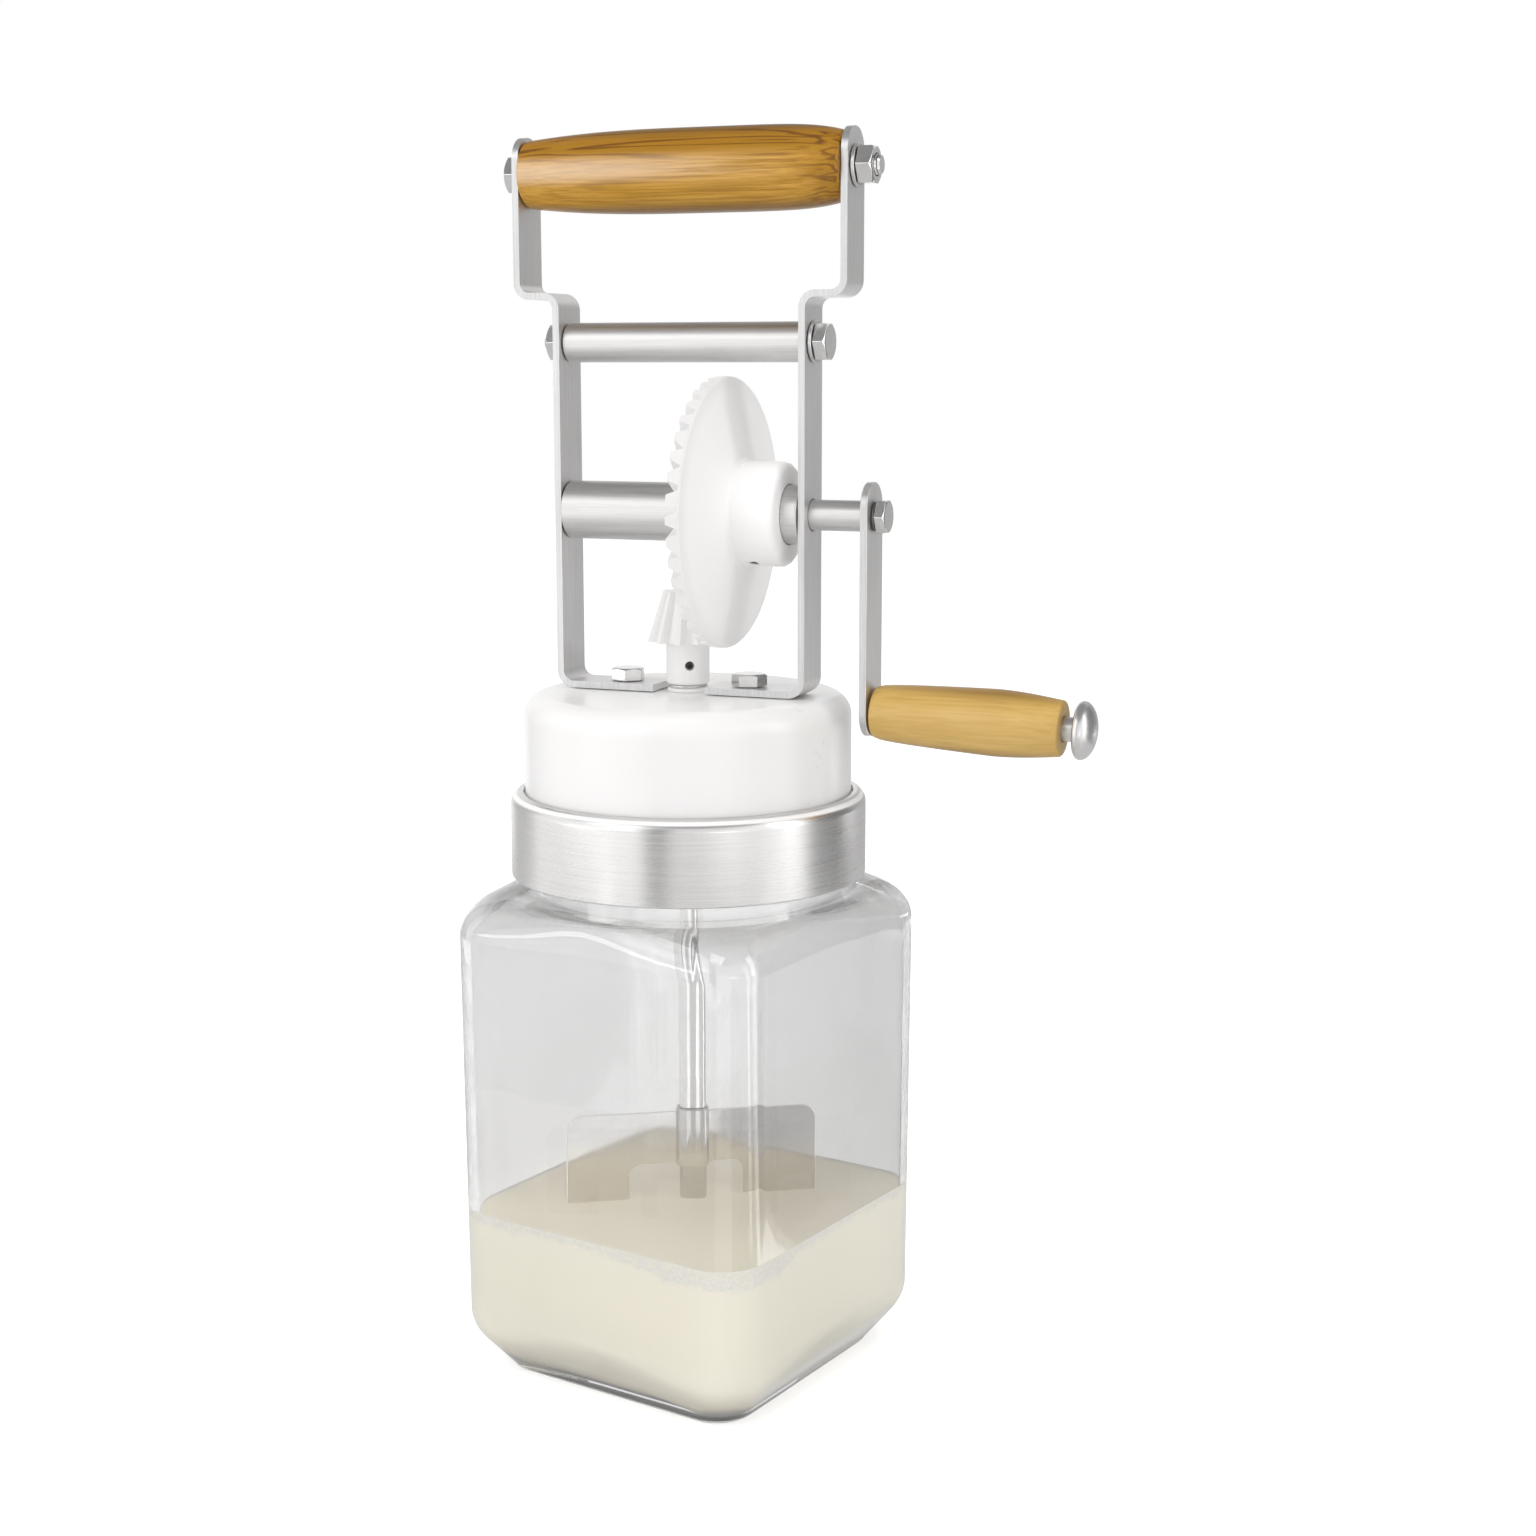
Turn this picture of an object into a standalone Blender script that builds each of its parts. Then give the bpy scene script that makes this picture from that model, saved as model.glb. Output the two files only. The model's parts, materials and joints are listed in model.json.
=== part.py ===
# Hand cranked butter churn: a square glass jar, a white lid held down by a steel screw band, a steel
# strap frame with a wooden carrying handle, a crank, a bevel gear pair and a paddle on a shaft.
# Metres, +Z up. The origin is on the paddle shaft's axis, on the plane the jar stands on. +X runs
# along the axle to the crank.

from math import acos, cos, hypot, pi, radians, sin, tan

import bmesh
import bpy
from mathutils import Matrix, Vector

# Clearances shared by all pieces
FIT_GAP = 0.0003
CUT_OVERRUN = 0.0020

# Glass jar
JAR_TURN_DEGREES = -12.3
NECK_RADIUS = 0.0540
JAR_SHOULDER_OVERHANG = 0.0041
JAR_DRAFT = 0.0007
JAR_CORNER_RADIUS = 0.0160
JAR_HEEL_INSET = 0.0115
JAR_FOOT_CORNER_RADIUS = 0.0125
JAR_FOOT_ROUND = 0.0010
JAR_HEEL_HEIGHT = 0.0152
JAR_HEEL_ROUND = 0.0055
JAR_SHOULDER_RISE = 0.0145
JAR_NECK_RISE = 0.0260
JAR_HEIGHT = 0.1885
JAR_WALL = 0.0035
JAR_FLOOR = 0.0045
NECK_FILLET = 0.0012
RIM_ROUND = 0.0012
THREAD_HEIGHT = 0.0023
THREAD_WIDTH = 0.0032
THREAD_LEAD = 0.0070
THREAD_GAP = 0.0105
THREAD_TURNS = 1.15
THREAD_RUN_OUT_SHARE = 0.10
THREAD_ROOT = 0.0008

# Gasket, screw band and lid
GASKET_THICKNESS = 0.0015
GASKET_OVERLAP = 0.0004
BAND_THREAD_GAP = 0.0005
BAND_SHEET = 0.0012
BAND_SHOULDER_GAP = 0.0043
BAND_BEND = 0.0040
BAND_HOLE_GAP = 0.0006
LID_RISE = 0.0319
LID_WALL = 0.0032
LID_TOP_THICKNESS = 0.0036
LID_EDGE_RADIUS = 0.0074
LID_FLANGE_THICKNESS = 0.0021
LID_FLANGE_GAP = 0.0022
LID_FLANGE_WIDTH = 0.0014
LID_INNER_ROUND = 0.0040
LID_BOSS_WALL = 0.0032
LID_BOSS_DEPTH = 0.0180

# Frame straps
STRAP_WIDTH = 0.0160
STRAP_THICKNESS = 0.0022
STRAP_LID_INSET = 0.0028
STRAP_STEP_WIDTH = 0.0136
STRAP_STEP_RISE = 0.0146
STRAP_TOP_EXTRA = 0.0117
STRAP_FOOT_END = 0.0090
STRAP_FOOT_BEND = 0.0046
STRAP_STEP_BEND = 0.0042
STRAP_TOP_FLAT = 0.0006

# Small hardware: the foot bolts and the crank bolt are a size smaller than the rest
BOLT_RADIUS = 0.0032
BOLT_HEAD_FLATS = 0.0111
BOLT_HEAD_HEIGHT = 0.0040
BOLT_TIP_CHAMFER = 0.0006
BOLT_TIP_PROUD = 0.0016
NUT_HEIGHT = 0.0050
NUT_THIN_HEIGHT = 0.0036
HEX_CROWN_DEGREES = 30.0
HEX_CROWN_SHARE = 0.93
WASHER_RADIUS = 0.0066
WASHER_THICKNESS = 0.0011
FOOT_BOLT_REACH = 0.0214
FOOT_BOLT_RADIUS = 0.0029
FOOT_BOLT_FLATS = 0.0100
FOOT_BOLT_HEAD_HEIGHT = 0.0040
FOOT_NUT_HEIGHT = 0.0046
LEFT_FOOT_BOLT_TURN_DEGREES = 15.0
RIGHT_FOOT_BOLT_TURN_DEGREES = -13.0
CRANK_BOLT_RADIUS = 0.0029
CRANK_BOLT_FLATS = 0.0100
CRANK_BOLT_HEAD_HEIGHT = 0.0032
CRANK_BOLT_LENGTH = 0.0120
CRANK_BOLT_HOLE_DEPTH = 0.0150
CRANK_WASHER_RADIUS = 0.0047
CRANK_WASHER_THICKNESS = 0.0008

# Carrying handle and spacer
HANDLE_RISE = 0.0383
HANDLE_RADIUS = 0.0131
HANDLE_END_RADIUS = 0.0107
HANDLE_EDGE_ROUND = 0.0013
HANDLE_LEFT_POWER = 2.5
HANDLE_RIGHT_POWER = 6.0
SPACER_RADIUS = 0.0063
SPACER_GEAR_GAP = 0.0043

# Axle and crank
AXLE_RADIUS = 0.0094
AXLE_EDGE = 0.0004
JOURNAL_RADIUS = 0.00485
CRANK_STRAP_GAP = 0.0042
CRANK_RADIUS = 0.0613
CRANK_ARM_WIDTH = 0.0158
CRANK_ARM_THICKNESS = 0.0024
CRANK_ARM_TOP_EXTRA = 0.0028
GRIP_SIDE_GAP = 0.0007
GRIP_LENGTH = 0.0608
GRIP_NEAR_RADIUS = 0.0082
GRIP_WIDE_RADIUS = 0.0105
GRIP_FAR_RADIUS = 0.0088
GRIP_WIDE_PLACE_SHARE = 0.64
GRIP_NEAR_POWER = 0.5
GRIP_EDGE_ROUND = 0.0010
PIN_RADIUS = 0.00385
PIN_TENON_RADIUS = 0.0028
PIN_FREE_LENGTH = 0.0040
PIN_HEAD_RADIUS = 0.0091
PIN_HEAD_HEIGHT = 0.0064
PIN_HEAD_EDGE = 0.0012
PIN_DROOP_DEGREES = 2.0

# Bevel gears: the pitch cones meet where the axle and the shaft axes cross
GEAR_TEETH = 40
PINION_TEETH = 11
GEAR_PITCH_RADIUS = 0.0420
TOOTH_PRESSURE_DEGREES = 20.0
TOOTH_BACKLASH = 0.00040
GEAR_ADDENDUM_SHARE = 0.47
GEAR_DEDENDUM_SHARE = 1.20
PINION_ADDENDUM_SHARE = 0.75
PINION_DEDENDUM_SHARE = 0.80
TOOTH_INNER_SHARE = 0.60
GEAR_RIM_PROUD = 0.0010
GEAR_RIM_WALL = 0.0012
GEAR_RIM_EDGE = 0.0005
GEAR_BACK_CONE = 0.0048
GEAR_WEB_STEP = 0.0006
GEAR_WEB_ROUND = 0.0010
GEAR_HUB_RADIUS = 0.0166
GEAR_HUB_GAP = 0.0056
GEAR_HUB_ROUND = 0.0024
GEAR_LID_GAP = 0.0149
GEAR_SCREW_PLACE_SHARE = 0.36
GEAR_SCREW_TURN_DEGREES = -22.0
PINION_HUB_RADIUS = 0.0071
PINION_HUB_EDGE = 0.0006
PINION_SCREW_HEIGHT = 0.0062
PINION_SCREW_TURN_DEGREES = -62.0
SET_SCREW_RADIUS = 0.0013
SET_SCREW_SOCKET_RADIUS = 0.00065
SET_SCREW_SOCKET_DEPTH = 0.0010
GEAR_SET_SCREW_LENGTH = 0.0064
PINION_SET_SCREW_LENGTH = 0.0027

# Paddle shaft, its bearing in the lid and the paddle
SHAFT_RADIUS = 0.003175
SHAFT_END_RISE = 0.0040
SHAFT_TOP_SINK = 0.0006
SHAFT_CHAMFER = 0.0005
BUSH_WALL = 0.0016
BUSH_FLANGE_WIDTH = 0.0015
BUSH_FLANGE_THICKNESS = 0.0010
BUSH_TAIL = 0.0012
THRUST_WASHER_RADIUS = 0.0064
THRUST_WASHER_THICKNESS = 0.0008
PADDLE_TURN_DEGREES = 31.0
PADDLE_MOUTH_GAP = 0.0095
PADDLE_SHEET = 0.0012
PADDLE_BRIDGE = 0.0180
PADDLE_ARCH_HEIGHT = 0.0665
PADDLE_FOOT_HEIGHT = 0.0190
PADDLE_ARCH_HALF_WIDTH = 0.0197
PADDLE_TOP_CORNER = 0.0050
PADDLE_FOOT_CORNER = 0.0030
PADDLE_ARCH_CORNER = 0.0040
PADDLE_HUB_RADIUS = 0.0045
PADDLE_HUB_PROUD = 0.0015
PADDLE_HUB_SINK = 0.0005

# How finely round shapes are cut into flats
LARGE_ROUND_STEPS = 48
ROUND_STEPS = 24
SMALL_ROUND_STEPS = 16
HEXAGON_STEPS = 12
JAR_CORNER_STEPS = 6
JAR_SIDE_STEPS = 5
ARC_STEPS = 4
SHARP_ANGLE_DEGREES = 32.0

# Heights and reaches that follow from the sizes above
JAR_HALF_SIDE = NECK_RADIUS + JAR_SHOULDER_OVERHANG
JAR_FOOT_HALF_SIDE = JAR_HALF_SIDE - JAR_HEEL_INSET
JAR_SHOULDER_TOP = JAR_HEIGHT - JAR_NECK_RISE
JAR_SHOULDER_START = JAR_SHOULDER_TOP - JAR_SHOULDER_RISE
THREAD_START = JAR_SHOULDER_TOP + THREAD_GAP
BAND_RADIUS = NECK_RADIUS + THREAD_HEIGHT + BAND_THREAD_GAP + BAND_SHEET
BAND_BOTTOM = JAR_SHOULDER_TOP + BAND_SHOULDER_GAP
LID_FLANGE_RADIUS = BAND_RADIUS - BAND_SHEET - LID_FLANGE_GAP
LID_RADIUS = LID_FLANGE_RADIUS - LID_FLANGE_WIDTH
GASKET_BOTTOM = JAR_HEIGHT + FIT_GAP
FLANGE_BOTTOM = GASKET_BOTTOM + GASKET_THICKNESS + FIT_GAP
FLANGE_TOP = FLANGE_BOTTOM + LID_FLANGE_THICKNESS
BAND_TOP = FLANGE_TOP + FIT_GAP + BAND_SHEET
LID_TOP = BAND_TOP + LID_RISE
FOOT_BOTTOM = LID_TOP + FIT_GAP
FOOT_TOP = FOOT_BOTTOM + STRAP_THICKNESS
STRAP_LOWER_REACH = LID_RADIUS - LID_EDGE_RADIUS - STRAP_LID_INSET
STRAP_UPPER_REACH = STRAP_LOWER_REACH + STRAP_STEP_WIDTH
BUSH_RADIUS = SHAFT_RADIUS + FIT_GAP + BUSH_WALL
BUSH_FLANGE_RADIUS = BUSH_RADIUS + BUSH_FLANGE_WIDTH
BUSH_TOP = LID_TOP + FIT_GAP + BUSH_FLANGE_THICKNESS
THRUST_WASHER_BOTTOM = BUSH_TOP + FIT_GAP
PINION_BOTTOM = THRUST_WASHER_BOTTOM + THRUST_WASHER_THICKNESS + FIT_GAP
LOWER_INSIDE = STRAP_LOWER_REACH - STRAP_THICKNESS
UPPER_INSIDE = STRAP_UPPER_REACH - STRAP_THICKNESS
GEAR_RADIUS = GEAR_PITCH_RADIUS + GEAR_RIM_PROUD
AXLE_HEIGHT = LID_TOP + GEAR_LID_GAP + GEAR_RADIUS
SPACER_HEIGHT = AXLE_HEIGHT + GEAR_RADIUS + SPACER_GEAR_GAP + SPACER_RADIUS
STRAP_STEP_HEIGHT = SPACER_HEIGHT + STRAP_STEP_RISE
HANDLE_HEIGHT = STRAP_STEP_HEIGHT + HANDLE_RISE
STRAP_TOP = HANDLE_HEIGHT + STRAP_TOP_EXTRA
JOURNAL_REACH = STRAP_UPPER_REACH + CRANK_STRAP_GAP
ARM_INNER = JOURNAL_REACH + FIT_GAP
ARM_OUTER = ARM_INNER + CRANK_ARM_THICKNESS
GRIP_START = ARM_OUTER + GRIP_SIDE_GAP
GRIP_END = GRIP_START + GRIP_LENGTH
PIN_HEAD_START = GRIP_END + PIN_FREE_LENGTH
PIN_HEIGHT = AXLE_HEIGHT - CRANK_RADIUS
GEAR_MODULE = 2.0 * GEAR_PITCH_RADIUS / GEAR_TEETH
PINION_PITCH_RADIUS = GEAR_PITCH_RADIUS * PINION_TEETH / GEAR_TEETH
GEAR_ROOT_DEPTH = PINION_PITCH_RADIUS + GEAR_MODULE * GEAR_DEDENDUM_SHARE
GEAR_RIM_BACK = GEAR_ROOT_DEPTH + GEAR_RIM_WALL
GEAR_WEB_FRONT = GEAR_ROOT_DEPTH * TOOTH_INNER_SHARE + GEAR_WEB_STEP
GEAR_CONE_TOP = GEAR_RIM_BACK + GEAR_BACK_CONE
GEAR_HUB_END = LOWER_INSIDE - GEAR_HUB_GAP
GEAR_SCREW_REACH = GEAR_CONE_TOP + (GEAR_HUB_END - GEAR_CONE_TOP) * GEAR_SCREW_PLACE_SHARE
PADDLE_HALF_SPAN = NECK_RADIUS - JAR_WALL - PADDLE_MOUTH_GAP
PADDLE_TOP_HEIGHT = PADDLE_ARCH_HEIGHT + PADDLE_BRIDGE
SHAFT_END_HEIGHT = PADDLE_FOOT_HEIGHT + SHAFT_END_RISE

# Finishes: base colour, roughness, metallic
BRUSHED_STEEL = ((0.72, 0.71, 0.70, 1.0), 0.34, 1.0)
POLISHED_STEEL = ((0.80, 0.79, 0.77, 1.0), 0.14, 1.0)
WHITE_PLASTIC = ((0.90, 0.90, 0.89, 1.0), 0.34, 0.0)
CLEAR_GLASS = ((0.93, 0.95, 0.95, 1.0), 0.03, 0.0)
HANDLE_WOOD = ((0.62, 0.34, 0.10, 1.0), 0.38, 0.0)
GRIP_WOOD = ((0.70, 0.46, 0.19, 1.0), 0.42, 0.0)
SEAL_RUBBER = ((0.80, 0.80, 0.78, 1.0), 0.60, 0.0)


def clear_scene():
    for old in list(bpy.data.objects):
        bpy.data.objects.remove(old, do_unlink=True)


# Joint axes are empties, so a moving piece turns or slides about its parent
def joint_axis(name, point, parent=None):
    empty = bpy.data.objects.new(name, None)
    bpy.context.scene.collection.objects.link(empty)
    empty.parent = parent
    empty.location = Vector(point) - axis_point(parent)
    return empty


def axis_point(empty):
    point = Vector((0.0, 0.0, 0.0))
    while empty is not None:
        point = point + empty.location
        empty = empty.parent
    return point


def finish_material(name, finish):
    colour, roughness, metallic = finish
    material = bpy.data.materials.new(name + "_finish")
    material.use_nodes = True
    shader = material.node_tree.nodes["Principled BSDF"]
    shader.inputs["Base Color"].default_value = colour
    shader.inputs["Roughness"].default_value = roughness
    shader.inputs["Metallic"].default_value = metallic
    return material


def add_piece(name, shape, finish, parent=None, at=(0.0, 0.0, 0.0), turn=(0.0, 0.0, 0.0)):
    mesh = bpy.data.meshes.new(name)
    shape.to_mesh(mesh)
    shape.free()
    mesh.shade_smooth()
    mesh.set_sharp_from_angle(angle=radians(SHARP_ANGLE_DEGREES))
    mesh.materials.append(finish_material(name, finish))
    piece = bpy.data.objects.new(name, mesh)
    bpy.context.scene.collection.objects.link(piece)
    piece.parent = parent
    piece.location = Vector(at) - axis_point(parent)
    piece.rotation_euler = turn
    return piece


# A helper solid that a Boolean takes away from a piece or joins to it
def combine(piece, shape, operation, label):
    name = piece.name + "_" + label
    mesh = bpy.data.meshes.new(name)
    shape.to_mesh(mesh)
    shape.free()
    helper = bpy.data.objects.new(name, mesh)
    bpy.context.scene.collection.objects.link(helper)
    helper.parent = piece
    helper.hide_render = True
    helper.display_type = "WIRE"
    boolean = piece.modifiers.new(label, "BOOLEAN")
    boolean.operation = operation
    boolean.solver = "EXACT"
    boolean.object = helper


def join_rings(shape, first, second):
    # Faces between two closed rings of points, which may have unlike counts or be one point
    if len(first) == len(second):
        count = len(first)
        for i in range(count):
            j = (i + 1) % count
            shape.faces.new((first[i], first[j], second[j], second[i]))
        return
    i = 0
    j = 0
    while i < len(first) or j < len(second):
        next_first = (i + 1) / len(first)
        next_second = (j + 1) / len(second)
        a = first[i % len(first)]
        b = second[j % len(second)]
        if len(first) > 1 and (len(second) == 1 or (next_first <= next_second and i < len(first))):
            if i >= len(first):
                return
            shape.faces.new((a, first[(i + 1) % len(first)], b))
            i = i + 1
        else:
            if j >= len(second):
                return
            shape.faces.new((a, second[(j + 1) % len(second)], b))
            j = j + 1


def body_from_rings(rings, closed_loop=False):
    # One closed body through a row of rings; the row either closes on itself or is capped
    shape = bmesh.new()
    rows = []
    for ring in rings:
        rows.append([shape.verts.new(point) for point in ring])
    for k in range(len(rows) - 1):
        join_rings(shape, rows[k], rows[k + 1])
    if closed_loop:
        join_rings(shape, rows[-1], rows[0])
    else:
        for row in (rows[0], rows[-1]):
            if len(row) > 1:
                shape.faces.new(row)
    bmesh.ops.recalc_face_normals(shape, faces=shape.faces)
    return shape


def circle_ring(radius, height, steps):
    if radius == 0.0:
        return [(0.0, 0.0, height)]
    ring = []
    for i in range(steps):
        angle = 2.0 * pi * i / steps
        ring.append((radius * cos(angle), radius * sin(angle), height))
    return ring


def hexagon_radius(flats, angle):
    sector = pi / 3.0
    offset = (angle + sector / 2.0) % sector - sector / 2.0
    return flats / 2.0 / cos(offset)


def hexagon_ring(flats, height, crown_radius=None, steps=HEXAGON_STEPS):
    # With a crown radius the corners fall away from the height, as a turned chamfer leaves them
    ring = []
    for i in range(steps):
        angle = 2.0 * pi * i / steps
        radius = hexagon_radius(flats, angle)
        drop = 0.0
        if crown_radius is not None:
            drop = (radius - crown_radius) * tan(radians(HEX_CROWN_DEGREES))
        ring.append((radius * cos(angle), radius * sin(angle), height - drop))
    return ring


def turned(outline, steps, closed_loop=False):
    # Outline points are (radius, height)
    return body_from_rings([circle_ring(r, h, steps) for r, h in outline], closed_loop)


def arc(centre, radius, start_degrees, end_degrees, steps=ARC_STEPS):
    points = []
    for i in range(steps + 1):
        angle = radians(start_degrees + (end_degrees - start_degrees) * i / steps)
        points.append((centre[0] + radius * cos(angle), centre[1] + radius * sin(angle)))
    return points


def cylinder_shape(radius, bottom, top, steps=SMALL_ROUND_STEPS, to_world=None):
    shape = turned([(radius, bottom), (radius, top)], steps)
    if to_world is not None:
        bmesh.ops.transform(shape, matrix=to_world, verts=shape.verts)
    return shape


def merge_shapes(shapes):
    # Several closed helper bodies in one mesh
    merged = bmesh.new()
    for shape in shapes:
        mesh = bpy.data.meshes.new("helper")
        shape.to_mesh(mesh)
        shape.free()
        merged.from_mesh(mesh)
        bpy.data.meshes.remove(mesh)
    return merged


def plate(outline, thickness):
    # A flat plate in the YZ plane, from X = 0 to its thickness; outline points are (y, z)
    return body_from_rings([[(0.0, y, z) for y, z in outline], [(thickness, y, z) for y, z in outline]])


def along_x(x=0.0, y=0.0, z=0.0):
    # Takes a shape's own Z axis to +X and moves it
    return Matrix.Translation((x, y, z)) @ Matrix.Rotation(pi / 2.0, 4, "Y")


TURN_TO_X = (0.0, pi / 2.0, 0.0)
TURN_TO_MINUS_X = (0.0, -pi / 2.0, 0.0)
TURN_UPSIDE_DOWN = (pi, 0.0, 0.0)


def rounded_square(half, corner):
    # Points (x, y) round a square with rounded corners, starting in the middle of the +X side
    points = []
    straight = half - corner
    for k in range(4):
        turn = k * pi / 2.0
        side = []
        for i in range(JAR_SIDE_STEPS):
            side.append((half, straight * (2.0 * i / JAR_SIDE_STEPS - 1.0)))
        for i in range(JAR_CORNER_STEPS):
            angle = pi / 2.0 * i / JAR_CORNER_STEPS
            side.append((straight + corner * cos(angle), straight + corner * sin(angle)))
        for x, y in side:
            points.append((x * cos(turn) - y * sin(turn), x * sin(turn) + y * cos(turn)))
    return points


def square_to_circle(outline, radius, share):
    # The outline drawn towards a circle, each point along its own spoke
    points = []
    for x, y in outline:
        spoke = hypot(x, y)
        reach = spoke + (radius - spoke) * share
        points.append((x / spoke * reach, y / spoke * reach))
    return points


def at_height(outline, height):
    return [(x, y, height) for x, y in outline]


def jar_half_side(height):
    # The walls draw in slightly from the shoulder to the heel
    fall = (JAR_SHOULDER_START - height) / (JAR_SHOULDER_START - JAR_HEEL_HEIGHT)
    return JAR_HALF_SIDE - JAR_DRAFT * fall


def heel_profile(foot_half, foot_height, wall_half, heel_height, round_size):
    # (half side, height) from the foot up a sloping heel and round into the wall
    rise = heel_height - foot_height
    reach = wall_half - foot_half
    length = hypot(rise, reach)
    start = (wall_half - reach / length * round_size, heel_height - rise / length * round_size)
    end = (wall_half, heel_height + round_size)
    points = []
    for i in range(ARC_STEPS + 1):
        t = i / ARC_STEPS
        half = (1 - t) ** 2 * start[0] + 2 * t * (1 - t) * wall_half + t * t * end[0]
        height = (1 - t) ** 2 * start[1] + 2 * t * (1 - t) * heel_height + t * t * end[1]
        points.append((half, height))
    return points


def jar_shape():
    rings = []
    foot_corner = JAR_FOOT_CORNER_RADIUS
    wall_low = jar_half_side(JAR_HEEL_HEIGHT)
    sole = rounded_square(JAR_FOOT_HALF_SIDE - JAR_FOOT_ROUND, foot_corner - JAR_FOOT_ROUND)
    rings.append(at_height(sole, 0.0))
    rings.append(at_height(rounded_square(JAR_FOOT_HALF_SIDE, foot_corner), JAR_FOOT_ROUND))
    for half, height in heel_profile(JAR_FOOT_HALF_SIDE, JAR_FOOT_ROUND, wall_low,
                                     JAR_HEEL_HEIGHT, JAR_HEEL_ROUND):
        share = (half - JAR_FOOT_HALF_SIDE) / (wall_low - JAR_FOOT_HALF_SIDE)
        corner = foot_corner + (JAR_CORNER_RADIUS - foot_corner) * share
        rings.append(at_height(rounded_square(half, corner), height))
    body = rounded_square(JAR_HALF_SIDE, JAR_CORNER_RADIUS)
    shoulder_steps = 2 * ARC_STEPS
    shoulder_radius = NECK_RADIUS + NECK_FILLET
    for i in range(shoulder_steps + 1):
        angle = pi / 2.0 * i / shoulder_steps
        outline = square_to_circle(body, shoulder_radius, 1.0 - cos(angle))
        height = JAR_SHOULDER_START + (JAR_SHOULDER_TOP - JAR_SHOULDER_START) * sin(angle)
        rings.append(at_height(outline, height))
    neck = square_to_circle(body, NECK_RADIUS, 1.0)
    rings.append(at_height(neck, JAR_SHOULDER_TOP + NECK_FILLET))
    rings.append(at_height(neck, JAR_HEIGHT - RIM_ROUND))
    bore_radius = NECK_RADIUS - JAR_WALL
    rings.append(at_height(square_to_circle(body, NECK_RADIUS - RIM_ROUND, 1.0), JAR_HEIGHT))
    rings.append(at_height(square_to_circle(body, bore_radius + RIM_ROUND, 1.0), JAR_HEIGHT))
    rings.append(at_height(square_to_circle(body, bore_radius, 1.0), JAR_HEIGHT - RIM_ROUND))
    inner_corner = JAR_CORNER_RADIUS - JAR_WALL
    inner = rounded_square(JAR_HALF_SIDE - JAR_WALL, inner_corner)
    inner_top = JAR_SHOULDER_TOP - JAR_WALL
    inner_start = JAR_SHOULDER_START - JAR_WALL / 2.0
    for i in range(shoulder_steps, -1, -1):
        angle = pi / 2.0 * i / shoulder_steps
        outline = square_to_circle(inner, bore_radius, 1.0 - cos(angle))
        height = inner_start + (inner_top - inner_start) * sin(angle)
        rings.append(at_height(outline, height))
    inner_low = wall_low - JAR_WALL
    inner_foot = JAR_FOOT_HALF_SIDE - JAR_WALL / 2.0
    foot_inner_corner = foot_corner - JAR_WALL / 2.0
    for half, height in reversed(heel_profile(inner_foot, JAR_FLOOR, inner_low,
                                              JAR_HEEL_HEIGHT + JAR_WALL / 2.0, JAR_HEEL_ROUND)):
        share = (half - inner_foot) / (inner_low - inner_foot)
        corner = foot_inner_corner + (inner_corner - foot_inner_corner) * share
        rings.append(at_height(rounded_square(half, corner), height))
    rings.append(at_height(rounded_square(inner_foot, foot_inner_corner), JAR_FLOOR))
    return body_from_rings(rings)


def thread_shape():
    # A helical ridge round the neck, rising from nothing and fading out again
    steps = int(ROUND_STEPS * THREAD_TURNS)
    root = NECK_RADIUS - THREAD_ROOT
    rings = []
    for i in range(steps + 1):
        share = i / steps
        fade = min(1.0, share / THREAD_RUN_OUT_SHARE, (1.0 - share) / THREAD_RUN_OUT_SHARE)
        crest = root + THREAD_ROOT / 2.0 + (THREAD_HEIGHT + THREAD_ROOT / 2.0) * fade
        angle = 2.0 * pi * THREAD_TURNS * share
        middle = THREAD_START + THREAD_LEAD * THREAD_TURNS * share
        half = THREAD_WIDTH / 2.0
        section = ((root, -half), (crest, -half / 2.0), (crest, half / 2.0), (root, half))
        rings.append([(r * cos(angle), r * sin(angle), middle + h) for r, h in section])
    return body_from_rings(rings)


def build_jar():
    jar = add_piece("glass_jar", jar_shape(), CLEAR_GLASS, turn=(0.0, 0.0, radians(JAR_TURN_DEGREES)))
    combine(jar, thread_shape(), "UNION", "thread")


def build_gasket(head):
    inner = NECK_RADIUS - JAR_WALL + GASKET_OVERLAP
    outer = NECK_RADIUS + GASKET_OVERLAP
    top = GASKET_BOTTOM + GASKET_THICKNESS
    outline = [(inner, GASKET_BOTTOM), (outer, GASKET_BOTTOM), (outer, top), (inner, top)]
    add_piece("lid_gasket", turned(outline, LARGE_ROUND_STEPS, True), SEAL_RUBBER, head)


def build_screw_band(axis):
    hole = LID_RADIUS + BAND_HOLE_GAP
    inside = BAND_RADIUS - BAND_SHEET
    bend = (BAND_RADIUS - BAND_BEND, BAND_TOP - BAND_BEND)
    outline = [(inside, BAND_BOTTOM), (BAND_RADIUS, BAND_BOTTOM)]
    outline += arc(bend, BAND_BEND, 0.0, 90.0)
    outline += [(hole, BAND_TOP), (hole, BAND_TOP - BAND_SHEET)]
    outline += arc(bend, BAND_BEND - BAND_SHEET, 90.0, 0.0)
    add_piece("screw_band", turned(outline, LARGE_ROUND_STEPS, True), BRUSHED_STEEL, axis)


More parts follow.
